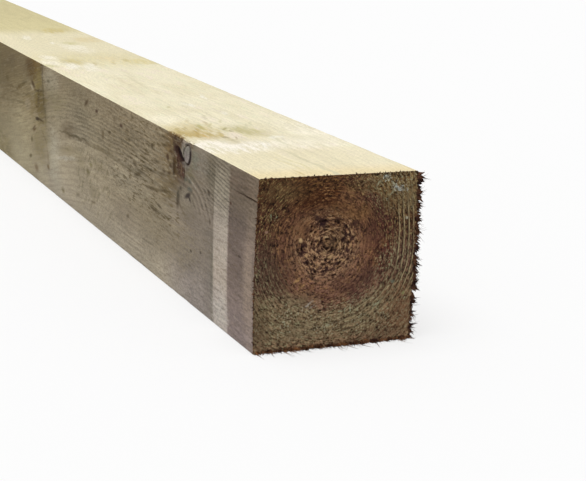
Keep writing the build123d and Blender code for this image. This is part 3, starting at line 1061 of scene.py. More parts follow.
        # A dark strip just past the band's far edge: painted shadow
        band_edge_shadow = (along + soft).rise(68.0, 64.0) * along.rise(60.0, 63.0) * z.rise(60.0, 40.0, 0.5)
        colour = bench.mix(band_edge_shadow, colour, tone(112, 108, 92))
        band = (along + soft * 0.3).rise(62.8, 61.4) * (along + soft * 0.3).rise(38.2, 39.8)
        band = band * (z + soft * 4.0).rise(101.0, 88.0, 0.75)
        beside = along.rise(124.0, 100.0) * along.rise(60.0, 64.0) * z.rise(62.0, 52.0) * z.rise(10.0, 24.0)
        colour = bench.mix(beside, colour, (0.84, 0.85, 0.86, 1.0), "MULTIPLY")
        colour = bench.mix(band, colour, (1.5, 1.52, 1.54, 1.0), "MULTIPLY")
        return bench.mix(band * z.rise(30.0, 44.0), colour, (1.2, 1.24, 1.3, 1.0), "MULTIPLY")

    def rows(self, bench: Bench, grain: Figure) -> Signal:
        """Draw the even rows that show where the rings meet the side edge on.

        Args:
            bench: the tree to add to.
            grain: the grain.

        Returns:
            How much darker they are.
        """
        from_end, z, mottle = grain.from_end, grain.z, grain.mottle
        wobble = (grain.cloud - 0.5) * 6.0
        ragged = (mottle - 0.5) * 1.4
        near = ((z - from_end * 0.15 + wobble * 0.6 + ragged) / 2.5).fraction()
        bent = (from_end - 290.0).at_least(0.0) * 0.065
        far = ((z + bent + wobble * 0.7 + ragged) / 2.9).fraction()
        near_zone = from_end.rise(92.0, 64.0) * z.rise(64.0, 74.0)
        near_zone = near_zone * (from_end.rise(36.0, 42.0, 0.65) + 0.35) * mottle.rise(0.2, 0.45)
        far_zone = from_end.rise(140.0, 200.0) * from_end.rise(396.0, 346.0)
        far_zone = far_zone * (z + bent).rise(58.0, 62.0) * z.rise(94.0, 76.0)
        drawn = near.rise(0.3, 0.7) * near.rise(1.0, 0.86) * near_zone * 0.37
        arcs = bench.length(bench.join((from_end - 114.0) * 0.66, (z - 54.0) * 1.1, 0.0))
        fan = ((arcs + wobble * 0.3 + ragged) / 4.4).fraction()
        fan_zone = arcs.rise(12.0, 17.0) * arcs.rise(38.0, 31.0) * from_end.rise(106.0, 96.0)
        fan_zone = fan_zone * z.rise(58.0, 64.0) * mottle.rise(0.25, 0.6, 0.34)
        crest = fan.rise(0.1, 0.25) * fan.rise(0.5, 0.3) * 0.8
        drawn = drawn + (fan.rise(0.5, 0.8) * fan.rise(1.0, 0.9) - crest) * fan_zone
        return drawn + far.rise(0.2, 0.7) * far.rise(1.0, 0.8) * far_zone * mottle.rise(0.25, 0.5, 0.23)


@dataclass(frozen=True)
class BleachedTop(LongGrain):
    """The pale finish of the top face."""

    stains: tuple[Patch, ...] = ()

    def make(self) -> bpy.types.Material:
        """Build the material.

        Returns:
            The finished material.
        """
        bench = Bench(bpy.data.materials.new(self.name))
        grain = self.figure(bench)
        from_end, y = grain.from_end, grain.y
        colour = bench.mix(grain.cloud.rise(0.4, 0.62, 0.6), CREAM, BUFF)
        tint = bench.grain(grain.place, (22.0, 8.0, 8.0), 2.0, 0.6)
        colour = bench.mix(tint.rise(0.55, 0.68, 0.5), colour, PINK_TOP)
        colour = bench.mix(tint.rise(0.45, 0.32, 0.5), colour, tone(226, 224, 192))
        colour = bench.mix(from_end.rise(440.0, 500.0, 0.7), colour, BUFF)
        colour = bench.mix(from_end.rise(640.0, 700.0, 0.9), colour, DULL_TOP)
        aged = bench.grain(grain.place, (260.0, 90.0, 90.0), 2.0, 0.5).rise(0.35, 0.6, 0.4) + 0.6
        colour = bench.mix(from_end.rise(690.0, 860.0) * aged, colour, AGED_TOP)
        colour = bench.mix(from_end.rise(80.0, 72.0, 0.6), colour, tone(234, 223, 190))
        colour = bench.mix(from_end.rise(30.0, 4.0, 0.7), colour, tone(234, 215, 168))
        flat = bench.join(from_end, y, 0.0)
        waved = bench.drift(bench.drift(flat, 14.0, (12.0, 6.0, 0.0)), 4.0, (5.0, 2.4, 0.0))
        fray = grain.mottle.rise(0.32, 0.68, 1.2) + grain.fine.rise(0.32, 0.68, 0.5) + 0.15
        colour = lay(bench, colour, waved, fray, self.stains)
        far_side = from_end.rise(2.0, 12.0) * from_end.rise(90.0, 78.0) * y.rise(10.0, 40.0)
        colour = bench.mix(far_side, colour, (1.05, 1.06, 1.08, 1.0), "MULTIPLY")
        front = y.rise(-26.0, -34.0) * from_end.rise(160.0, 190.0)
        colour = bench.mix(front, colour, (1.035, 1.035, 1.04, 1.0), "MULTIPLY")
        return self.close(bench, grain, bench.shade(colour, self.lightness(bench, grain)))

    @staticmethod
    def lightness(bench: Bench, grain: Figure) -> Signal:
        """Work out how much lighter or darker the grain and the saw marks make the top.

        Args:
            bench: the tree to add to.
            grain: the grain.

        Returns:
            1 where the colour stays as it is.
        """
        from_end, y = grain.from_end, grain.y
        streaks = grain.mottle.rise(0.34, 0.66) - 0.5
        grit = grain.fine.rise(0.34, 0.66) - 0.5
        busy = from_end.rise(85.0, 110.0) * from_end.rise(260.0, 180.0)
        busy = busy + from_end.rise(400.0, 430.0) * from_end.rise(520.0, 480.0)
        swept = bench.grain(bench.drift(grain.place, 30.0, (0.0, 9.0, 0.0)), (20.0, 2.2, 2.2), 2.0, 0.6)
        swept = swept.rise(0.36, 0.64) - 0.5
        strength = streaks * 0.06 + grit * 0.17 + (grain.fibre - 0.5) * 0.16 + swept * busy * 0.09 + 1.0
        saw = (from_end + y * 0.2 + (grain.cloud - 0.5) * 8.0) / 3.2
        marks = saw.fraction().rise(0.1, 0.5) * from_end.rise(82.0, 66.0) * y.rise(-4.0, 20.0)
        return strength - marks * 0.05 - grain.line * 0.04


END_STAINS_SHADE_AND_GLINTS = (
    # Broad stains
    Patch(20, 42, 7, 6, tone(68, 44, 38), 0.5, 0.1),
    Patch(-46, 50, 7, 12, tone(60, 44, 36), 0.4, 0.1),
    Patch(-47, 10, 6, 8, tone(76, 58, 46), 0.4, 0.1),
    Patch(7, 78, 13, 5, tone(126, 92, 58), 0.35, 0.1),
    Patch(-20, 72, 6, 6, tone(128, 94, 66), 0.4, 0.1),
    Patch(32, 84, 6, 6, tone(70, 50, 36), 0.25, 0.1),
    Patch(46, 16, 6, 12, tone(118, 90, 66), 0.4, 0.1),
    Patch(10, 35, 11, 6, tone(58, 35, 34), 0.45, 0.1),
    Patch(26, 70, 6, 11, tone(62, 42, 38), 0.2, 0.1),
    Patch(-3, 62, 6, 7, tone(96, 80, 54), 0.35, 0.1),
    Patch(34, 4, 9, 4, tone(76, 52, 40), 0.4, 0.1),
    Patch(-32, 46, 8, 10, tone(64, 44, 36), 0.4, 0.1),
    Patch(-21, 60, 6, 7, tone(70, 44, 36), 0.2, 0.1),
    Patch(-14, 82, 13, 5, tone(62, 34, 22), 0.35, 0.1),
    Patch(-5, 70, 5, 4, tone(66, 38, 30), 0.2, 0.1),
    Patch(-20, 70, 5, 5, tone(136, 96, 66), 0.3, 0.1),
    Patch(-20, 91, 8, 6, tone(60, 36, 18), 0.3, 0.1),
    Patch(-44, 90, 5, 7, tone(62, 40, 28), 0.4, 0.1),
    Patch(20, 60, 6, 6, tone(124, 86, 66), 0.3, 0.1),
    Patch(20, 3, 8, 4, tone(90, 64, 50), 0.3, 0.1),
    Patch(7, 90, 6, 5, tone(112, 84, 54), 0.3, 0.1),
    Patch(-20, 11, 9, 5, tone(140, 126, 98), 0.35, 0.1),
    Patch(22, 70, 5, 9, tone(66, 42, 36), 0.35, 0.1),
    Patch(-46, 21, 5, 9, tone(80, 64, 46), 0.4, 0.1),
    Patch(44, 84, 5, 6, tone(116, 106, 80), 0.35, 0.1),
    Patch(-20, 29, 8, 4, tone(128, 112, 86), 0.4, 0.1),
    Patch(-34, 92, 9, 5, tone(112, 92, 62), 0.35, 0.1),
    # Pits and bundles of fibre in the torn heart: the dark patches are painted shade in the pits, the pale
    # ones are torn fibres with painted glints
    Patch(-9.5, 73, 2.4, 3, tone(36, 19, 25), 0.85, 0.3, 20),
    Patch(-13.4, 76.2, 2.2, 1.2, tone(38, 21, 26), 0.75, 0.2, 20),
    Patch(-2, 74.8, 2.2, 1, tone(44, 26, 29), 0.6, 0.2),
    Patch(-18.8, 70, 1.8, 1.4, tone(46, 27, 30), 0.55, 0.2, 40),
    Patch(9.8, 71.8, 2.8, 1.4, tone(46, 26, 28), 0.75, 0.3, -30),
    Patch(3.8, 63.6, 1.4, 2.6, tone(34, 19, 22), 0.85, 0.3),
    Patch(-1.6, 63.2, 1.4, 1.3, tone(44, 28, 26), 0.8, 0.3),
    Patch(-10.4, 57.9, 1.4, 1, tone(46, 28, 28), 0.6, 0.2),
    Patch(-21.6, 60.6, 1, 2.4, tone(38, 21, 24), 0.8, 0.3),
    Patch(-18, 52, 1.8, 1.1, tone(44, 27, 29), 0.55, 0.2, -30),
    Patch(1, 49, 2.8, 1, tone(50, 31, 30), 0.7, 0.3),
    Patch(-7.2, 64.9, 1.5, 0.8, tone(196, 164, 124), 0.85, 0.3, 20),
    Patch(-22.8, 63.8, 0.9, 1.3, tone(204, 172, 126), 0.85, 0.3),
    Patch(-12.6, 64.4, 1.3, 0.9, tone(178, 142, 106), 0.8, 0.3, 30),
    Patch(-18.8, 55.2, 1, 1.2, tone(196, 160, 116), 0.85, 0.3),
    Patch(-7.9, 56, 1.1, 1.2, tone(182, 148, 108), 0.8, 0.3),
    Patch(-4.1, 53.3, 1.4, 0.8, tone(186, 154, 112), 0.8, 0.3),
    Patch(4, 51, 1.3, 0.8, tone(178, 144, 104), 0.8, 0.3, -20),
    Patch(8.4, 59, 0.8, 1.5, tone(176, 140, 102), 0.8, 0.3),
    Patch(-24, 41, 2.2, 0.7, tone(186, 148, 98), 0.7, 0.3, -40),
    Patch(-20.5, 37.5, 2, 0.7, tone(180, 142, 94), 0.7, 0.3, -40),
    Patch(7.2, 73, 0.6, 1.6, tone(170, 132, 100), 0.75, 0.3, 20),
    # Pale specks of stiff dirt
    Patch(28.4, 97.9, 1.5, 0.9, tone(170, 180, 170), 0.45, 0.1),
    Patch(30.5, 96.2, 1, 0.5, tone(160, 170, 150), 0.45, 0.2, -40),
    Patch(37.6, 90.4, 2.1, 1.1, tone(186, 196, 190), 0.45, 0.1, 20),
    Patch(39.6, 91.9, 0.9, 0.6, tone(176, 186, 176), 0.45, 0.2),
    Patch(35.2, 91.6, 1, 0.8, tone(172, 182, 174), 0.45, 0.2),
    Patch(33, 88.6, 2, 0.5, tone(150, 150, 122), 0.7, 0.2, -50),
    Patch(33.5, 93.5, 1.6, 0.6, tone(166, 166, 142), 0.8, 0.3, 40),
    Patch(24, 94, 1.8, 0.5, tone(160, 158, 130), 0.7, 0.3, -50),
    Patch(43.4, 72.9, 0.9, 0.8, tone(178, 172, 148), 0.85, 0.4),
    Patch(-43.5, 70, 0.9, 0.7, tone(156, 124, 104), 0.8, 0.3),
    Patch(-16.4, 26.4, 2.2, 0.5, tone(164, 156, 144), 0.85, 0.3, -34),
    Patch(-14.6, 24.8, 1.6, 0.4, tone(152, 144, 132), 0.8, 0.3, -20),
    Patch(44, 28.5, 0.9, 0.9, tone(134, 134, 88), 0.8, 0.3),
    Patch(-3.5, 12.9, 1.1, 0.5, tone(156, 156, 130), 0.7, 0.3, -16),
    Patch(27, 23.5, 2.4, 0.5, tone(152, 156, 126), 0.7, 0.3, -34),
    Patch(36.6, 36, 1, 0.9, tone(104, 122, 106), 0.6, 0.2),
)

# Clusters of pale specks, on the near end only
END_DUST = (
    Patch(-28, 21, 6, 4, tone(178, 182, 154), 0.85, 0.3, -30),
    Patch(37.6, 91, 4.6, 3, tone(206, 214, 208), 0.9, 0.3, 30),
    Patch(28.6, 97.4, 3, 2, tone(200, 208, 198), 0.85, 0.3),
    Patch(9, 22.5, 5, 3, tone(150, 170, 138), 0.8, 0.2),
    Patch(-15.6, 25.6, 5, 2, tone(176, 168, 150), 0.8, 0.2, -30),
    Patch(26, 23, 9, 2.4, tone(156, 160, 128), 0.7, 0.2, 34),
    Patch(-4, 13, 10, 3, tone(158, 160, 132), 0.7, 0.2, -10),
    Patch(-40, 78, 3, 2, tone(132, 150, 118), 0.8, 0.2),
)


@dataclass(frozen=True)
class EndGrain:
    """The finish of the two sawn ends: dark rings, a torn heart and stiff stains."""

    heart: Heart

    def make(self) -> bpy.types.Material:
        """Build the material.

        Returns:
            The finished material.
        """
        bench = Bench(bpy.data.materials.new("end_grain"))
        place = bench.place()
        x, y, z = bench.split(place)
        wavy = bench.drift(place, 16.0, (0.0, 2.6, 2.6))
        _, wavy_y, wavy_z = bench.split(wavy)
        aside = wavy_y - self.heart.across
        up = wavy_z - self.heart.height
        radius = bench.length(bench.join(aside, up, 0.0)).at_least(0.01)
        _, count = self.heart.rings(bench, aside, self.heart.upright(aside, up))
        cloud = bench.grain(place, (40.0, 9.0, 9.0), 2.0, 0.55)

        colour = self.ground(bench, y, z, radius, aside, up, cloud)
        swirl = bench.join(aside * 0.28, up * 0.28, radius * 0.85)
        stroke = bench.grain(swirl, (1.0, 1.0, 1.0), 3.0, 0.7)
        chaos = bench.grain(place, (2.9, 2.9, 2.9), 3.0, 0.78)
        grit = bench.grain(place, (1.2, 1.2, 1.2), 2.0, 0.6)
        strength = chaos.rise(0.36, 0.64, 0.85) + stroke.rise(0.36, 0.64, 0.95) + grit.rise(0.36, 0.64, 0.9)
        colour = bench.shade(colour, (strength - 0.25).at_least(0.12))

        pale = bench.mix(z.rise(50.0, 72.0), tone(174, 168, 128), tone(176, 154, 102))
        russet = z.rise(72.0, 82.0) * y.rise(-34.0, -24.0) * y.rise(8.0, 0.0)
        pale = bench.mix(russet, pale, tone(144, 106, 62))
        pale = bench.mix(y.rise(6.0, 26.0) * z.rise(74.0, 86.0, 0.8), pale, tone(170, 164, 124))
        pale = bench.mix(radius.rise(38.0, 30.0), pale, tone(168, 126, 84))
        torn = radius.rise(24.0, 14.0)
        wisp = bench.grain(bench.drift(swirl, 3.0, (1.0, 1.0, 1.0)), (0.6, 0.6, 0.6), 2.0, 0.6)
        bundle = bench.drift(bench.join(aside * 0.47, up * 0.47, radius * 0.68), 1.6, (1.5, 1.5, 1.5))
        tangle = bench.grain(bundle, (1.0, 1.0, 1.0), 2.0, 0.6)
        thread = bench.grain(bench.drift(swirl, 2.0, (0.9, 0.9, 0.9)), (1.5, 1.5, 1.5), 1.0, 0.5)
        thread = (thread - 0.5).size().rise(0.03, 0.008) * chaos.rise(0.42, 0.56)
        colour = bench.mix(thread * 0.6, colour, pale)
        colour = bench.mix(wisp.rise(0.57, 0.67, 0.75), colour, pale)
        colour = bench.mix(wisp.rise(0.43, 0.3, 0.8), colour, tone(34, 18, 17))
        arcs = radius.rise(11.5, 13.5, 0.06) * radius.rise(18.5, 16.5) + radius.rise(7.5, 6.0, 0.05)
        tangle = tangle - arcs
        # In the torn heart: pale torn fibres with painted glints, and painted shade in the pits between them
        colour = bench.mix(tangle.rise(0.54, 0.59, 0.85) * torn, colour, tone(190, 154, 116))
        colour = bench.mix(tangle.rise(0.455, 0.385, 0.85) * torn, colour, tone(46, 27, 29))

        late = count.fraction()
        lit = self.ring_light(bench, y, z, radius, cloud) * (stroke.rise(0.38, 0.56, 0.7) + 0.3)
        # Painted shade in the groove beside each late ring, and a painted highlight on the ring's ridge where
        # the late wood catches the light
        groove_shade = late.rise(0.25, 0.55) * late.rise(0.78, 0.66) * lit * 0.8
        colour = bench.mix(groove_shade, colour, tone(42, 29, 23))
        colour = bench.mix(late.rise(0.66, 0.8) * late.rise(1.0, 0.92) * lit, colour, tone(192, 174, 132))
        ringed = radius.rise(16.0, 22.0, 0.14) + 0.16
        colour = bench.mix(late.rise(0.45, 0.8) * late.rise(1.0, 0.9) * ringed, colour, tone(50, 32, 28))
        dusty = bench.math("MAXIMUM", z.rise(34.0, 22.0), y.rise(8.0, 30.0) * z.rise(70.0, 88.0))
        dusty = dusty * z.rise(3.0, 9.0) * cloud.rise(0.42, 0.52)
        colour = bench.mix(grit.rise(0.61, 0.68) * dusty * 0.8, colour, tone(158, 164, 138))
        flat = bench.join(y, z, 0.0)
        fray = chaos.rise(0.3, 0.7, 1.2) + 0.4
        near_end = x.rise(-1.0, 1.0)
        for cluster in END_DUST:
            specks = grit.rise(0.57, 0.63) * cluster.cover(bench, flat, fray) * near_end
            colour = bench.mix(specks, colour, cluster.colour)
        colour = lay(bench, colour, bench.drift(flat, 2.2, (2.4, 2.4, 0.0)), fray, END_STAINS_SHADE_AND_GLINTS)

        # Painted shade in the torn pits and along the ragged edges, darker the deeper they lie
        worn = bench.attribute(SUNK_DEPTH)
        colour = bench.mix(worn.rise(0.35, 1.1, 0.65), colour, tone(40, 23, 23))
        height = stroke * 0.5 + chaos * 0.6 + grit * 0.4
        return bench.finish(colour, chaos * 0.15 + 0.75, height, depth=0.9, strength=1.0, gloss=0.06)

    @staticmethod
    def ground(bench: Bench, y: Signal, z: Signal, radius: Signal, aside: Signal, up: Signal,
               cloud: Signal) -> Socket:
        """Colour the end broadly: a red-brown heart in duller, greener wood.

        Args:
            bench: the tree to add to.
            y: mm towards +Y.
            z: mm above the resting face.
            radius: mm from the heart.
            aside: mm from the heart towards +Y.
            up: mm above the heart.
            cloud: broad noise that breaks it up.

        Returns:
            The colour.
        """
        outer = bench.mix(z.rise(48.0, 76.0), tone(89, 65, 52), tone(78, 52, 37))
        outer = bench.mix(z.rise(40.0, 22.0), outer, tone(118, 98, 74))
        outer = bench.mix(z.rise(10.0, 2.0, 0.8), outer, tone(136, 107, 82))
        outer = bench.mix(z.rise(80.0, 92.0) * y.rise(6.0, -6.0), outer, tone(78, 52, 33))
        outer = bench.mix(y.rise(4.0, 30.0) * z.rise(70.0, 88.0, 0.9), outer, tone(108, 85, 54))
        low_right = y.rise(20.0, 38.0) * z.rise(46.0, 28.0) * z.rise(5.0, 9.0)
        outer = bench.mix(low_right, outer, tone(107, 80, 59))
        heart = bench.mix(up.rise(-26.0, 16.0), tone(122, 89, 71), tone(99, 69, 48))
        heart = bench.mix(up.rise(20.0, 32.0) * aside.rise(14.0, 4.0), heart, tone(80, 48, 27))
        heart = bench.mix(aside.rise(22.0, 33.0) * up.rise(-24.0, -10.0), heart, tone(83, 50, 39))
        heart = bench.mix(aside.rise(-26.0, -36.0) * up.rise(-26.0, -10.0), heart, tone(88, 62, 48))
        heart = bench.mix(cloud.rise(0.54, 0.4, 0.6), heart, tone(78, 50, 42))
        heart = bench.mix(cloud.rise(0.56, 0.66, 0.4), heart, tone(132, 98, 62))
        heart = bench.mix(up.rise(16.0, 26.0, 0.9) * aside.rise(12.0, 0.0), heart, tone(68, 40, 22))
        middle = bench.mix(up.rise(2.0, -8.0), tone(108, 80, 61), tone(132, 102, 80))
        heart = bench.mix(radius.rise(26.0, 14.0, 0.85), heart, middle)
        reach = radius - (aside * 0.19 - up * 0.05) + (cloud - 0.5) * 10.0
        return bench.mix(reach.rise(38.5, 32.0), outer, heart)

    @staticmethod
    def ring_light(bench: Bench, y: Signal, z: Signal, radius: Signal, cloud: Signal) -> Signal:
        """Say where the late wood catches the light.

        Args:
            bench: the tree to add to.
            y: mm towards +Y.
            z: mm above the resting face.
            radius: mm from the heart.
            cloud: broad noise that breaks it up.

        Returns:
            A number from 0 to 1.
        """
        right = y.rise(35.0, 39.0) * z.rise(88.0, 76.0) * z.rise(10.0, 40.0)
        left = y.rise(-22.0, -38.0) * z.rise(56.0, 44.0)
        low = radius.rise(40.0, 44.0) * radius.rise(60.0, 52.0) * z.rise(48.0, 38.0) * y.rise(-10.0, 12.0)
        high = radius.rise(34.0, 42.0) * z.rise(72.0, 84.0) * y.rise(4.0, 16.0)
        lit = bench.math("MAXIMUM", bench.math("MAXIMUM", right, left * 0.5), low * 0.75 + high * 0.4)
        return lit * (cloud.rise(0.36, 0.52, 0.4) + 0.6) * 0.9


@dataclass(frozen=True)
class Relief:
    """The shape of the post's surface: crowned sides, worn arrises, the torn whorl and the sawn ends.

    Sizes are in mm. The pocket, the torn hollow and the seam are ovals: the middle's distance from the near
    end, its height, half the length, half the height, and the degrees that it falls towards the near end.
    """

    heart: Heart
    knot_from_end: float = 110.3
    knot_height: float = 91.5
    knot_radius: float = 5.4
    bark_ring: float = 1.0
    ring_depth: float = 1.2
    pocket: tuple[float, ...] = (123.6, 89.6, 9.0, 3.3, 26.0)
    pocket_depth: float = 2.0
    torn: tuple[float, ...] = (122.8, 80.8, 9.4, 7.0, 0.0)
    seam: tuple[float, ...] = (114.4, 80.3, 1.2, 7.6, -10.0)
    seam_depth: float = 2.0
    check_depth: float = 1.5
    whorl_end: float = 160.0
    chipped: tuple[float, float] = (96.0, 148.0)

    @staticmethod
    def rough(spot: Vector, pitch: float, seed: float) -> float:
        """Give smooth noise from -1 to 1 at a place.

        Args:
            spot: the place in mm.
            pitch: the size of the lumps in mm.
            seed: shifts the pattern.

        Returns:
            The noise.
        """
        return noise.noise(Vector((spot.x / pitch + seed, spot.y / pitch, spot.z / pitch)))

    def hollow(self, spot: Vector) -> float:
        """Give the depth of the bark ring, pocket, hollow, seam and check at a place on the -Y side.

        Args:
            spot: the place in mm.

        Returns:
            How far the surface lies inside the plain side, in mm.
        """
        if spot.y > -HALF_WIDTH + 3.0:
            return 0.0
        along = HALF_LENGTH - spot.x
        if along > self.whorl_end:
            return 0.0
        height = spot.z
        tear = self.rough(spot, 2.2, 3.0)
        rag = self.rough(spot, 5.0, 13.0)
        ring = math.hypot(along - self.knot_from_end, height - self.knot_height)
        gap = abs(ring - self.knot_radius - self.bark_ring / 2)
        depth = self.ring_depth * ease(self.bark_ring, self.bark_ring * 0.35, gap)
        pocket = self.oval(along + tear * 0.8 + rag, height + tear * 0.5, *self.pocket)
        depth = max(depth, self.pocket_depth * ease(1.05, 0.6, pocket))
        torn = self.oval(along + tear * 1.6 + rag * 3.0, height + rag * 2.0, *self.torn)
        depth = max(depth, (0.6 + 0.5 * tear) * ease(1.1, 0.85, torn))
        seam = self.oval(along + tear * 0.4, height, *self.seam)
        depth = max(depth, self.seam_depth * ease(1.2, 0.5, seam))
        crack = abs(height + self.rough(spot, 9.0, 7.0) * 0.5 - CHECK_HEIGHT)
        return max(depth, self.check_depth * ease(0.6, 0.2, crack) * ease(CHECK_LENGTH, 4.0, along))

    @staticmethod
    def oval(along: float, height: float, middle: float, middle_height: float, half_length: float,
             half_height: float, lean: float) -> float:
        """Measure a place against a leaning oval on the side.

        Args:
            along: mm from the near end.
            height: mm above the resting face.
            middle: the oval's middle, from the near end.
            middle_height: its height.
            half_length: half its length.
            half_height: half its height.
            lean: degrees that it falls towards the near end.

        Returns:
            0 in the middle and 1 on the oval.
        """
        angle = math.radians(lean)
        right = -(along - middle)
        rise = height - middle_height
        major = right * math.cos(angle) - rise * math.sin(angle)
        minor = right * math.sin(angle) + rise * math.cos(angle)
        return math.hypot(major / half_length, minor / half_height)

    def pit(self, spot: Vector) -> float:
        """Give the depth of the torn pits round the heart and the saw's strokes on an end.

        Args:
            spot: the place in mm, on the plain end.

        Returns:
            How far the surface lies inside the plain end, in mm.
        """
        radius, count = self.heart.rings_at(spot.y, spot.z)
        late = count % 1.0
        ridge = 0.16 * ease(0.5, 0.8, late) * ease(1.0, 0.88, late)
        depth = 0.16 - ridge + 0.12 * self.rough(spot, 1.6, 11.0)
        torn = ease(TORN_HEART, 14.0, radius)
        if torn > 0.0:
            side = 4.0 if spot.x > 0 else 9.0
            turn = Vector(((spot.y - self.heart.across) * 0.27, (spot.z - self.heart.height) * 0.27,
                           radius * 0.42 + side))
            cell = noise.voronoi(turn)[0][0] + 0.12 * self.rough(spot, 1.8, 29.0)
            lump = ease(-0.3, 0.3, self.rough(spot, 4.0, 5.0))
            depth += 1.6 * torn * lump * ease(0.5, 0.24, cell)
        edge = min(HALF_WIDTH - abs(spot.y), spot.z, HEIGHT - spot.z)
        if edge < 2.2:
            depth += 0.8 * ease(2.2, 0.0, edge) * max(self.rough(spot, 1.3, 17.0) + 0.25, 0.0)
        return depth

    def shift(self, spot: Vector, on_end: bool) -> tuple[Vector, float]:
        """Move a place on the plain square bar to where the real surface lies.

        Args:
            spot: the place in mm.
            on_end: whether it lies on a sawn end.

        Returns:
            The moved place, and how deep it lies in a hollow, in mm.
        """
        moved = spot.copy()
        worn = 0.0
        if on_end:
            worn = self.pit(spot)
            moved.x -= math.copysign(worn, spot.x)
        else:
            worn = self.hollow(spot)
            moved.y += worn
        from_middle = (spot.z - HEIGHT / 2) / (HEIGHT / 2)
        moved.y *= 1.0 - SIDE_CROWN / HALF_WIDTH * from_middle**2
        corner = ease(2.5, 0.0, max(HALF_WIDTH - abs(spot.y), min(spot.z, HEIGHT - spot.z)))
        if corner > 0.0:
            wear = 0.35 * corner * max(self.rough(spot, 14.0, 23.0), 0.0)
            along = HALF_LENGTH - spot.x
            first, last = self.chipped
            if spot.y < 0 and spot.z > HEIGHT / 2 and first < along < last:
                chip = ease(first, first + 8.0, along) * ease(last, last - 10.0, along)
                wear += 2.3 * corner * chip * max(self.rough(spot, 3.0, 31.0) + 0.3, 0.0)
            inward = Vector((0.0, -math.copysign(1.0, spot.y), math.copysign(1.0, HEIGHT / 2 - spot.z)))
            moved += inward * wear * 0.7
            worn += wear * 0.5
        return moved, worn


class Chart(Enum):
    """The parts of the post's bake map, each with the strip of the map that it fills."""

    FRONT = (0.0, 0.19)
    TOP = (0.19, 0.38)
    BACK = (0.38, 0.57)
    UNDER = (0.57, 0.76)
    NEAR_END = (0.0, 0.24)
    FAR_END = (0.24, 0.48)


FINISH_OF = {Chart.FRONT: 0, Chart.TOP: 1, Chart.BACK: 2, Chart.UNDER: 2, Chart.NEAR_END: 3, Chart.FAR_END: 3}


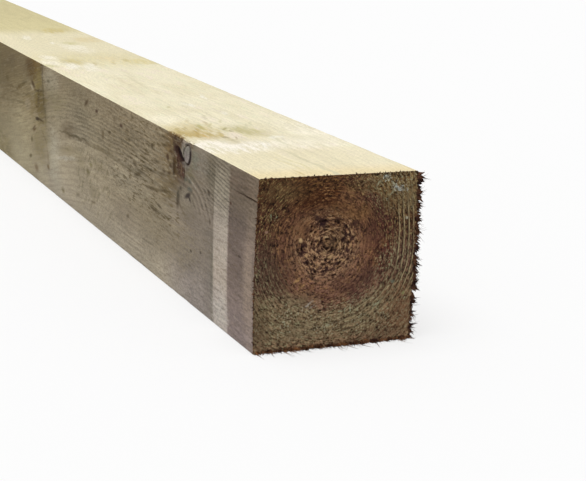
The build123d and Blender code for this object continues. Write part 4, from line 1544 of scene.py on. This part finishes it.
@dataclass(frozen=True)
class Post:
    """The length of timber itself, with the pitches of its mesh and the whorl's fine patch, in mm."""

    heart: Heart = field(default_factory=Heart)
    bay: float = 12.5
    plain_pitch: float = 6.25
    end_pitch: float = 0.79
    torn_pitch: float = 0.5
    far_end_pitch: float = 1.6
    knot_pitch: float = 0.5
    whorl_from_end: float = 119.0
    whorl_height: float = 86.0
    whorl_half_length: float = 24.0
    whorl_half_height: float = 15.0
    rounds: int = 9
    smooth_angle: float = 38.0

    def wanted_pitch(self, spot: Vector) -> float:
        """Say how fine the mesh has to be at a place.

        Args:
            spot: the place in mm.

        Returns:
            The longest edge that may stay there, in mm.
        """
        from_near = HALF_LENGTH - spot.x
        if from_near < 0.01:
            torn = math.hypot(spot.y - self.heart.across, spot.z - self.heart.height) < TORN_HEART
            return self.torn_pitch if torn else self.end_pitch
        from_far = HALF_LENGTH + spot.x
        if from_far < 0.01:
            return self.far_end_pitch
        pitch = self.plain_pitch + 1.0
        pitch = min(pitch, self.end_pitch + 0.55 * from_near, self.far_end_pitch + 0.6 * from_far)
        if spot.y < -HALF_WIDTH + 1.0 or spot.z > HEIGHT - 1.0 and spot.y < -HALF_WIDTH + 4.0:
            out = max(abs(from_near - self.whorl_from_end) - self.whorl_half_length,
                      abs(spot.z - self.whorl_height) - self.whorl_half_height, 0.0)
            pitch = min(pitch, self.knot_pitch + 0.3 * out)
            crack = max(abs(spot.z - CHECK_HEIGHT) - 1.0, from_near - CHECK_LENGTH, 0.0)
            pitch = min(pitch, self.knot_pitch + 0.35 * crack)
        return pitch

    def bar(self) -> bmesh.types.BMesh:
        """Cut the plain bar: a box in bays, with its long arrises rounded.

        Returns:
            The bar, in mm.
        """
        mesh = bmesh.new()
        bmesh.ops.create_cube(mesh, size=1.0)
        bmesh.ops.scale(mesh, vec=(LENGTH, HALF_WIDTH * 2, HEIGHT), verts=mesh.verts)
        bmesh.ops.translate(mesh, vec=(0.0, 0.0, HEIGHT / 2), verts=mesh.verts)
        long_edges = [edge for edge in mesh.edges if edge.calc_length() > LENGTH / 2]
        bmesh.ops.bevel(mesh, geom=long_edges, offset=ARRIS, offset_type="OFFSET", segments=2,
                        profile=0.5, affect="EDGES", material=-1)
        for spot, normal in (
            ((0.0, ARRIS - HALF_WIDTH, 0.0), (0.0, 1.0, 0.0)),
            ((0.0, HALF_WIDTH - ARRIS, 0.0), (0.0, 1.0, 0.0)),
            ((0.0, 0.0, ARRIS), (0.0, 0.0, 1.0)),
            ((0.0, 0.0, HEIGHT - ARRIS), (0.0, 0.0, 1.0)),
        ):
            whole = mesh.verts[:] + mesh.edges[:] + mesh.faces[:]
            bmesh.ops.bisect_plane(mesh, geom=whole, dist=0.001, plane_co=spot, plane_no=normal)
        long_edges = [edge for edge in mesh.edges if edge.calc_length() > LENGTH / 2]
        bmesh.ops.subdivide_edges(mesh, edges=long_edges, cuts=round(LENGTH / self.bay / 8) - 1,
                                  use_grid_fill=True)
        return mesh

    def refine(self, mesh: bmesh.types.BMesh) -> None:
        """Divide the bar's edges until each is as fine as its place wants.

        Args:
            mesh: the bar, changed in place.
        """
        for _ in range(self.rounds):
            wide = []
            for edge in mesh.edges:
                middle = (edge.verts[0].co + edge.verts[1].co) / 2
                if edge.calc_length() > 1.42 * self.wanted_pitch(middle):
                    wide.append(edge)
            if not wide:
                return
            bmesh.ops.subdivide_edges(mesh, edges=wide, cuts=1, use_grid_fill=True, use_single_edge=True)

    def carve(self, mesh: bmesh.types.BMesh) -> None:
        """Move every point of the bar to the real surface, and note how deep it lies below the plain bar
        there.

        Args:
            mesh: the bar, changed in place.
        """
        relief = Relief(self.heart)
        layer = mesh.verts.layers.float.new(SUNK_DEPTH)
        for point in mesh.verts:
            on_end = abs(abs(point.co.x) - HALF_LENGTH) < 0.01
            point.co, point[layer] = relief.shift(point.co, on_end)

    @staticmethod
    def chart_of(normal: Vector) -> Chart:
        """Choose the strip of the bake map for a face of the plain bar.

        Args:
            normal: the face's direction.

        Returns:
            The chart.
        """
        if abs(normal.x) > 0.9:
            return Chart.NEAR_END if normal.x > 0 else Chart.FAR_END
        if abs(normal.y) > abs(normal.z):
            return Chart.BACK if normal.y > 0 else Chart.FRONT
        return Chart.TOP if normal.z > 0 else Chart.UNDER

    @staticmethod
    def map_spot(chart: Chart, spot: Vector) -> tuple[float, float]:
        """Find a place on the bake map.

        Args:
            chart: the chart that the face is in.
            spot: the place on the plain bar, in mm.

        Returns:
            The two map coordinates.
        """
        low, high = chart.value
        margin = 0.004
        width = high - low - 2 * margin
        if chart in (Chart.NEAR_END, Chart.FAR_END):
            across = (spot.y + HALF_WIDTH) / (2 * HALF_WIDTH)
            return low + margin + width * across, 0.76 + margin + width * spot.z / HEIGHT
        upright = chart in (Chart.FRONT, Chart.BACK)
        share = spot.z / HEIGHT if upright else (spot.y + HALF_WIDTH) / (2 * HALF_WIDTH)
        return margin + (1 - 2 * margin) * (spot.x + HALF_LENGTH) / LENGTH, low + margin + width * share

    def unwrap(self, mesh: bmesh.types.BMesh) -> None:
        """Lay the plain bar's faces on the bake map and give each its material.

        Args:
            mesh: the plain bar, changed in place.
        """
        layer = mesh.loops.layers.uv.new(BAKE_MAP)
        mesh.normal_update()
        for face in mesh.faces:
            chart = self.chart_of(face.normal)
            face.material_index = FINISH_OF[chart]
            for corner in face.loops:
                corner[layer].uv = self.map_spot(chart, corner.vert.co)

    def build(self) -> bpy.types.Object:
        """Make the post and dress it.

        Returns:
            The finished piece.
        """
        mesh = self.bar()
        self.refine(mesh)
        self.unwrap(mesh)
        self.carve(mesh)
        bmesh.ops.scale(mesh, vec=(MM, MM, MM), verts=mesh.verts)
        finishes = (
            WeatheredSide(self.heart, "weathered_side", SIDE_STAINS_AND_SHADOW, SIDE_MARKS).make(),
            BleachedTop(self.heart, "bleached_top", TOP_STAINS_AND_HIGHLIGHTS).make(),
            WeatheredSide(self.heart, "weathered_back").make(),
            EndGrain(self.heart).make(),
        )
        piece = settle(mesh, "post_timber", finishes)
        piece.data.set_sharp_from_angle(angle=math.radians(self.smooth_angle))
        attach(piece, BODY)
        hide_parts("post")
        return piece


def settle(mesh: bmesh.types.BMesh, name: str, finishes: Iterable[bpy.types.Material]) -> bpy.types.Object:
    """Turn a finished bmesh into a smooth-shaded object at the origin.

    Args:
        mesh: the shape, in metres; it is freed.
        name: the object's name.
        finishes: its materials, in slot order.

    Returns:
        The object.
    """
    data = bpy.data.meshes.new(name)
    mesh.to_mesh(data)
    mesh.free()
    data.shade_smooth()
    for material in finishes:
        data.materials.append(material)
    piece = bpy.data.objects.new(name, data)
    bpy.context.scene.collection.objects.link(piece)
    return piece


@dataclass(frozen=True)
class FibreFinish:
    """The finish of the fibres that the saw tore out."""

    name: str
    dark: Colour
    light: Colour

    def make(self) -> bpy.types.Material:
        """Build the material.

        Returns:
            The finished material.
        """
        bench = Bench(bpy.data.materials.new(self.name))
        place = bench.place()
        speckle = bench.grain(place, (1.5, 1.5, 1.5), 2.0, 0.6)
        patch = bench.grain(place, (5.0, 5.0, 5.0), 1.0, 0.5)
        colour = bench.mix(patch.rise(0.35, 0.65), self.dark, self.light)
        colour = bench.shade(colour, speckle.rise(0.3, 0.7, 0.9) + 0.55)
        return bench.finish(colour, 0.9, gloss=0.06)


@dataclass(frozen=True)
class Strand:
    """One kind of torn fibre: how many there are, and their least and greatest sizes in mm."""

    count: int
    length: tuple[float, float]
    width: tuple[float, float]
    flatness: float = 0.5
    curl: float = 0.5


@dataclass
class Fringe:
    """Torn fibres along one edge of a sawn end."""

    name: str
    place: Callable[[random.Random], tuple[Vector, Vector]]
    strands: tuple[Strand, ...]

    narrowing: tuple[float, ...] = (0.9, 0.78, 0.55, 0.12)

    def sliver(self, mesh: bmesh.types.BMesh, root: Vector, heading: Vector, strand: Strand,
               draw: random.Random) -> None:
        """Grow one tapered, bent fibre.

        Args:
            mesh: an empty bmesh, filled in place.
            root: where it leaves the wood, in mm.
            heading: the way it leaves.
            strand: its kind.
            draw: the source of random numbers.
        """
        step = draw.uniform(*strand.length) / len(self.narrowing)
        curl = Vector((draw.uniform(-1, 1), draw.uniform(-1, 1), draw.uniform(-1.2, 0.8))) * strand.curl
        turn = heading.to_track_quat("Z", "Y").to_matrix().to_4x4()
        spin = Matrix.Rotation(draw.uniform(-0.9, 0.9), 4, "Z")
        flat = Matrix.Diagonal((strand.flatness, 1.0, 1.0, 1.0))
        matrix = Matrix.Translation(root) @ turn @ spin @ flat
        radius = draw.uniform(*strand.width) / 2
        made = bmesh.ops.create_circle(mesh, cap_ends=True, radius=radius, segments=4, matrix=matrix)
        rim = list({face for point in made["verts"] for face in point.link_faces})
        direction = heading.copy()
        centre = root.copy()
        for index, share in enumerate(self.narrowing):
            grown = bmesh.ops.extrude_face_region(mesh, geom=rim)
            points = [item for item in grown["geom"] if isinstance(item, bmesh.types.BMVert)]
            if index:
                bmesh.ops.delete(mesh, geom=rim, context="FACES_ONLY")
            rim = [item for item in grown["geom"] if isinstance(item, bmesh.types.BMFace)]
            direction = (direction + curl * (index + 1) / len(self.narrowing)).normalized()
            bmesh.ops.translate(mesh, vec=direction * step, verts=points)
            centre = centre + direction * step
            bmesh.ops.scale(mesh, vec=(share,) * 3, space=Matrix.Translation(-centre), verts=points)

    def build(self, seed: int, finish: bpy.types.Material) -> bpy.types.Object:
        """Make the fringe and dress it.

        Args:
            seed: starts its random draws.
            finish: its material.

        Returns:
            The finished piece.
        """
        draw = random.Random(seed)
        part = bpy.data.meshes.new(self.name + "_part")
        mesh = bmesh.new()
        for strand in self.strands:
            for _ in range(strand.count):
                root, heading = self.place(draw)
                single = bmesh.new()
                self.sliver(single, root, heading.normalized(), strand, draw)
                single.to_mesh(part)
                single.free()
                mesh.from_mesh(part)
        bpy.data.meshes.remove(part)
        for point in mesh.verts:
            point.co.z = max(point.co.z, 0.02)
        bmesh.ops.recalc_face_normals(mesh, faces=mesh.faces)
        bmesh.ops.scale(mesh, vec=(MM, MM, MM), verts=mesh.verts)
        piece = settle(mesh, self.name, (finish,))
        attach(piece, BODY)
        return piece


def back_edge(draw: random.Random) -> tuple[Vector, Vector]:
    """Place a fibre on the near end's +Y edge, where the saw came out."""
    height = draw.uniform(0.4, HEIGHT - 0.3)
    height = min(max(height - 1.2 * math.sin(height * 0.78), 0.4), HEIGHT - 0.3)
    side = HALF_WIDTH - SIDE_CROWN * ((height - HEIGHT / 2) / (HEIGHT / 2)) ** 2
    root = Vector((HALF_LENGTH - draw.uniform(0.5, 3.4), side - 0.6, height))
    return root, Vector((draw.uniform(-0.2, 0.3), 1.0, draw.uniform(-1.1, 0.0)))


def foot_edge(draw: random.Random) -> tuple[Vector, Vector]:
    """Place a fibre on the near end's bottom edge, from where it lies out along the floor."""
    across = draw.uniform(-HALF_WIDTH + 2.0, HALF_WIDTH - 1.0)
    root = Vector((HALF_LENGTH - 0.8, across, draw.uniform(0.3, 2.2)))
    return root, Vector((1.0, draw.uniform(-0.4, 0.8), draw.uniform(-0.7, 0.0)))


def front_edge(draw: random.Random) -> tuple[Vector, Vector]:
    """Place a fibre on the near end's -Y edge, where the saw went in."""
    height = draw.uniform(0.6, HEIGHT - 0.6)
    side = HALF_WIDTH - SIDE_CROWN * ((height - HEIGHT / 2) / (HEIGHT / 2)) ** 2
    root = Vector((HALF_LENGTH - draw.uniform(0.3, 0.9), 0.5 - side, height))
    return root, Vector((draw.uniform(0.1, 0.8), -0.7, draw.uniform(-0.8, 0.4)))


def top_edge(draw: random.Random) -> tuple[Vector, Vector]:
    """Place a fibre on the near end's top edge, standing just proud of it."""
    across = draw.uniform(-HALF_WIDTH + 1.5, HALF_WIDTH - 0.5)
    root = Vector((HALF_LENGTH - 0.7, across, HEIGHT - draw.uniform(0.3, 1.4)))
    return root, Vector((0.35, draw.uniform(-0.5, 0.6), draw.uniform(0.6, 1.1)))


def far_edge(draw: random.Random) -> tuple[Vector, Vector]:
    """Place a fibre on the far end's +Y edge."""
    root, heading = back_edge(draw)
    root.x = -root.x
    return root, heading


@dataclass(frozen=True)
class Studio:
    """The floor, light and camera that the post is shown with.

    Angles are in degrees and the floor's size is in metres. The camera's stand is in mm from the middle of
    the near end's foot.
    """

    azimuth: float = 64.879
    elevation: float = 14.535
    roll: float = 2.563
    focal_pixels: float = 1424.936
    picture_width: int = 586
    sensor: float = 36.0
    stand: tuple[float, float, float] = (686.595, -349.49, 261.01)
    floor_size: float = 60.0
    sun_strength: float = 1.93
    sun_width: float = 50.0
    sun_tilt: tuple[float, float] = (14.0, 6.0)
    sky_strength: float = 0.46

    def floor(self) -> None:
        """Lay the floor, which stays white to the camera and still takes the shadow."""
        mesh = bmesh.new()
        bmesh.ops.create_grid(mesh, x_segments=1, y_segments=1, size=self.floor_size / 2)
        bench = Bench(bpy.data.materials.new("studio_floor"))
        plain = bench.node("ShaderNodeBsdfDiffuse", None, {"Color": (0.9, 0.9, 0.9, 1.0)}).outputs[0]
        glow = bench.node("ShaderNodeEmission", None, {"Strength": 1.0}).outputs[0]
        rays = bench.node("ShaderNodeLightPath").outputs
        seen = Signal(bench, rays["Is Camera Ray"]) + Signal(bench, rays["Is Glossy Ray"])
        seen = (seen + Signal(bench, rays["Is Transmission Ray"])).at_most(1.0)
        both = bench.node("ShaderNodeMixShader", None, {0: seen * 0.65, 1: plain, 2: glow}).outputs[0]
        bench.node("ShaderNodeOutputMaterial", None, {"Surface": both})
        settle(mesh, "studio_floor", (bench.owner,))

    def light(self) -> None:
        """Hang one broad soft lamp overhead, under an even sky."""
        lamp = bpy.data.lights.new("overhead", "SUN")
        lamp.energy = self.sun_strength
        lamp.angle = math.radians(self.sun_width)
        shown = bpy.data.objects.new("overhead", lamp)
        shown.rotation_euler = (math.radians(self.sun_tilt[0]), math.radians(self.sun_tilt[1]), 0.0)
        bpy.context.scene.collection.objects.link(shown)
        bench = Bench(bpy.data.worlds.new("studio_sky"))
        rays = bench.node("ShaderNodeLightPath").outputs
        direct, mirrored = Signal(bench, rays["Is Camera Ray"]), Signal(bench, rays["Is Glossy Ray"])
        seen = bench.math("MAXIMUM", direct, mirrored)
        dim = {"Color": WHITE, "Strength": self.sky_strength}
        sky = bench.node("ShaderNodeBackground", None, dim).outputs[0]
        plain = bench.node("ShaderNodeBackground", None, {"Color": WHITE}).outputs[0]
        both = bench.node("ShaderNodeMixShader", None, {0: seen, 1: sky, 2: plain}).outputs[0]
        bench.node("ShaderNodeOutputWorld", None, {"Surface": both})
        bpy.context.scene.world = bench.owner

    def camera(self) -> None:
        """Set up the camera where the near end fills the lower right of the picture."""
        azimuth = math.radians(self.azimuth)
        elevation = math.radians(self.elevation)
        back = Vector((math.sin(azimuth) * math.cos(elevation), -math.cos(azimuth) * math.cos(elevation),
                       math.sin(elevation)))
        level = back.to_track_quat("Z", "Y").to_matrix().to_4x4()
        data = bpy.data.cameras.new("camera")
        data.sensor_width = self.sensor
        data.lens = self.focal_pixels * self.sensor / self.picture_width
        data.clip_start = 0.05
        data.clip_end = 200.0
        camera = bpy.data.objects.new("camera", data)
        spot = (Vector((HALF_LENGTH, 0.0, 0.0)) + Vector(self.stand)) * MM
        tilt = Matrix.Rotation(math.radians(self.roll), 4, "Z")
        camera.matrix_world = Matrix.Translation(spot) @ level @ tilt
        bpy.context.scene.collection.objects.link(camera)
        bpy.context.scene.camera = camera

    def build(self) -> None:
        """Set up the whole studio."""
        self.floor()
        self.light()
        self.camera()
        bpy.context.scene.view_settings.view_transform = "Standard"


def main() -> None:
    """Build the post piece by piece, and report each."""
    logging.basicConfig(level=logging.INFO, format="%(name)s: %(message)s")
    Studio().build()
    post = Post().build()
    log.info("%s: %d faces", post.name, len(post.data.polygons))
    # The dark fibres are partly painted shade: the back edge's fibres take the dark colour that they show in
    # the post's shade; on the top edge it is the end's own dark colour
    dark = FibreFinish("dark_fibre_and_shade", tone(46, 28, 25), tone(88, 60, 44)).make()
    brown = FibreFinish("brown_fibre", tone(54, 34, 28), tone(112, 78, 54)).make()
    hair = FibreFinish("hair_fibre", tone(84, 52, 34), tone(146, 102, 66)).make()
    burr = Strand(420, (2.8, 5.0), (1.6, 3.0))
    teeth = Strand(64, (4.2, 7.4), (1.3, 2.6))
    threads = Strand(190, (3.8, 7.8), (0.3, 0.8), 0.8, 0.7)
    hairs = Strand(44, (3.6, 8.0), (0.3, 0.7), 0.8)
    whiskers = Strand(16, (9.0, 14.0), (0.4, 0.8), 0.8, 0.25)
    fringes = (
        (Fringe("back_edge_fibres", back_edge, (burr, teeth, threads)), dark),
        (Fringe("back_edge_hairs", back_edge, (Strand(80, (4.6, 9.2), (0.25, 0.5), 0.8, 0.8),)), brown),
        (Fringe("foot_edge_fibres", foot_edge,
                (Strand(300, (1.8, 4.0), (0.9, 2.2)), Strand(50, (4.0, 8.0), (0.3, 0.7), 0.8))), brown),
        (Fringe("foot_edge_hairs", foot_edge, (hairs, whiskers)), hair),
        (Fringe("front_edge_fibres", front_edge, (Strand(150, (0.8, 1.9), (0.5, 1.2)),)), brown),
        (Fringe("top_edge_fibres", top_edge, (Strand(150, (0.8, 1.7), (0.6, 1.5)),)), dark),
        (Fringe("far_edge_fibres", far_edge, (Strand(120, (1.4, 4.0), (0.8, 2.0)),)), dark),
    )
    for seed, (fringe, finish) in enumerate(fringes):
        piece = fringe.build(seed, finish)
        log.info("%s: %d faces", piece.name, len(piece.data.polygons))


if __name__ == "__main__":
    main()
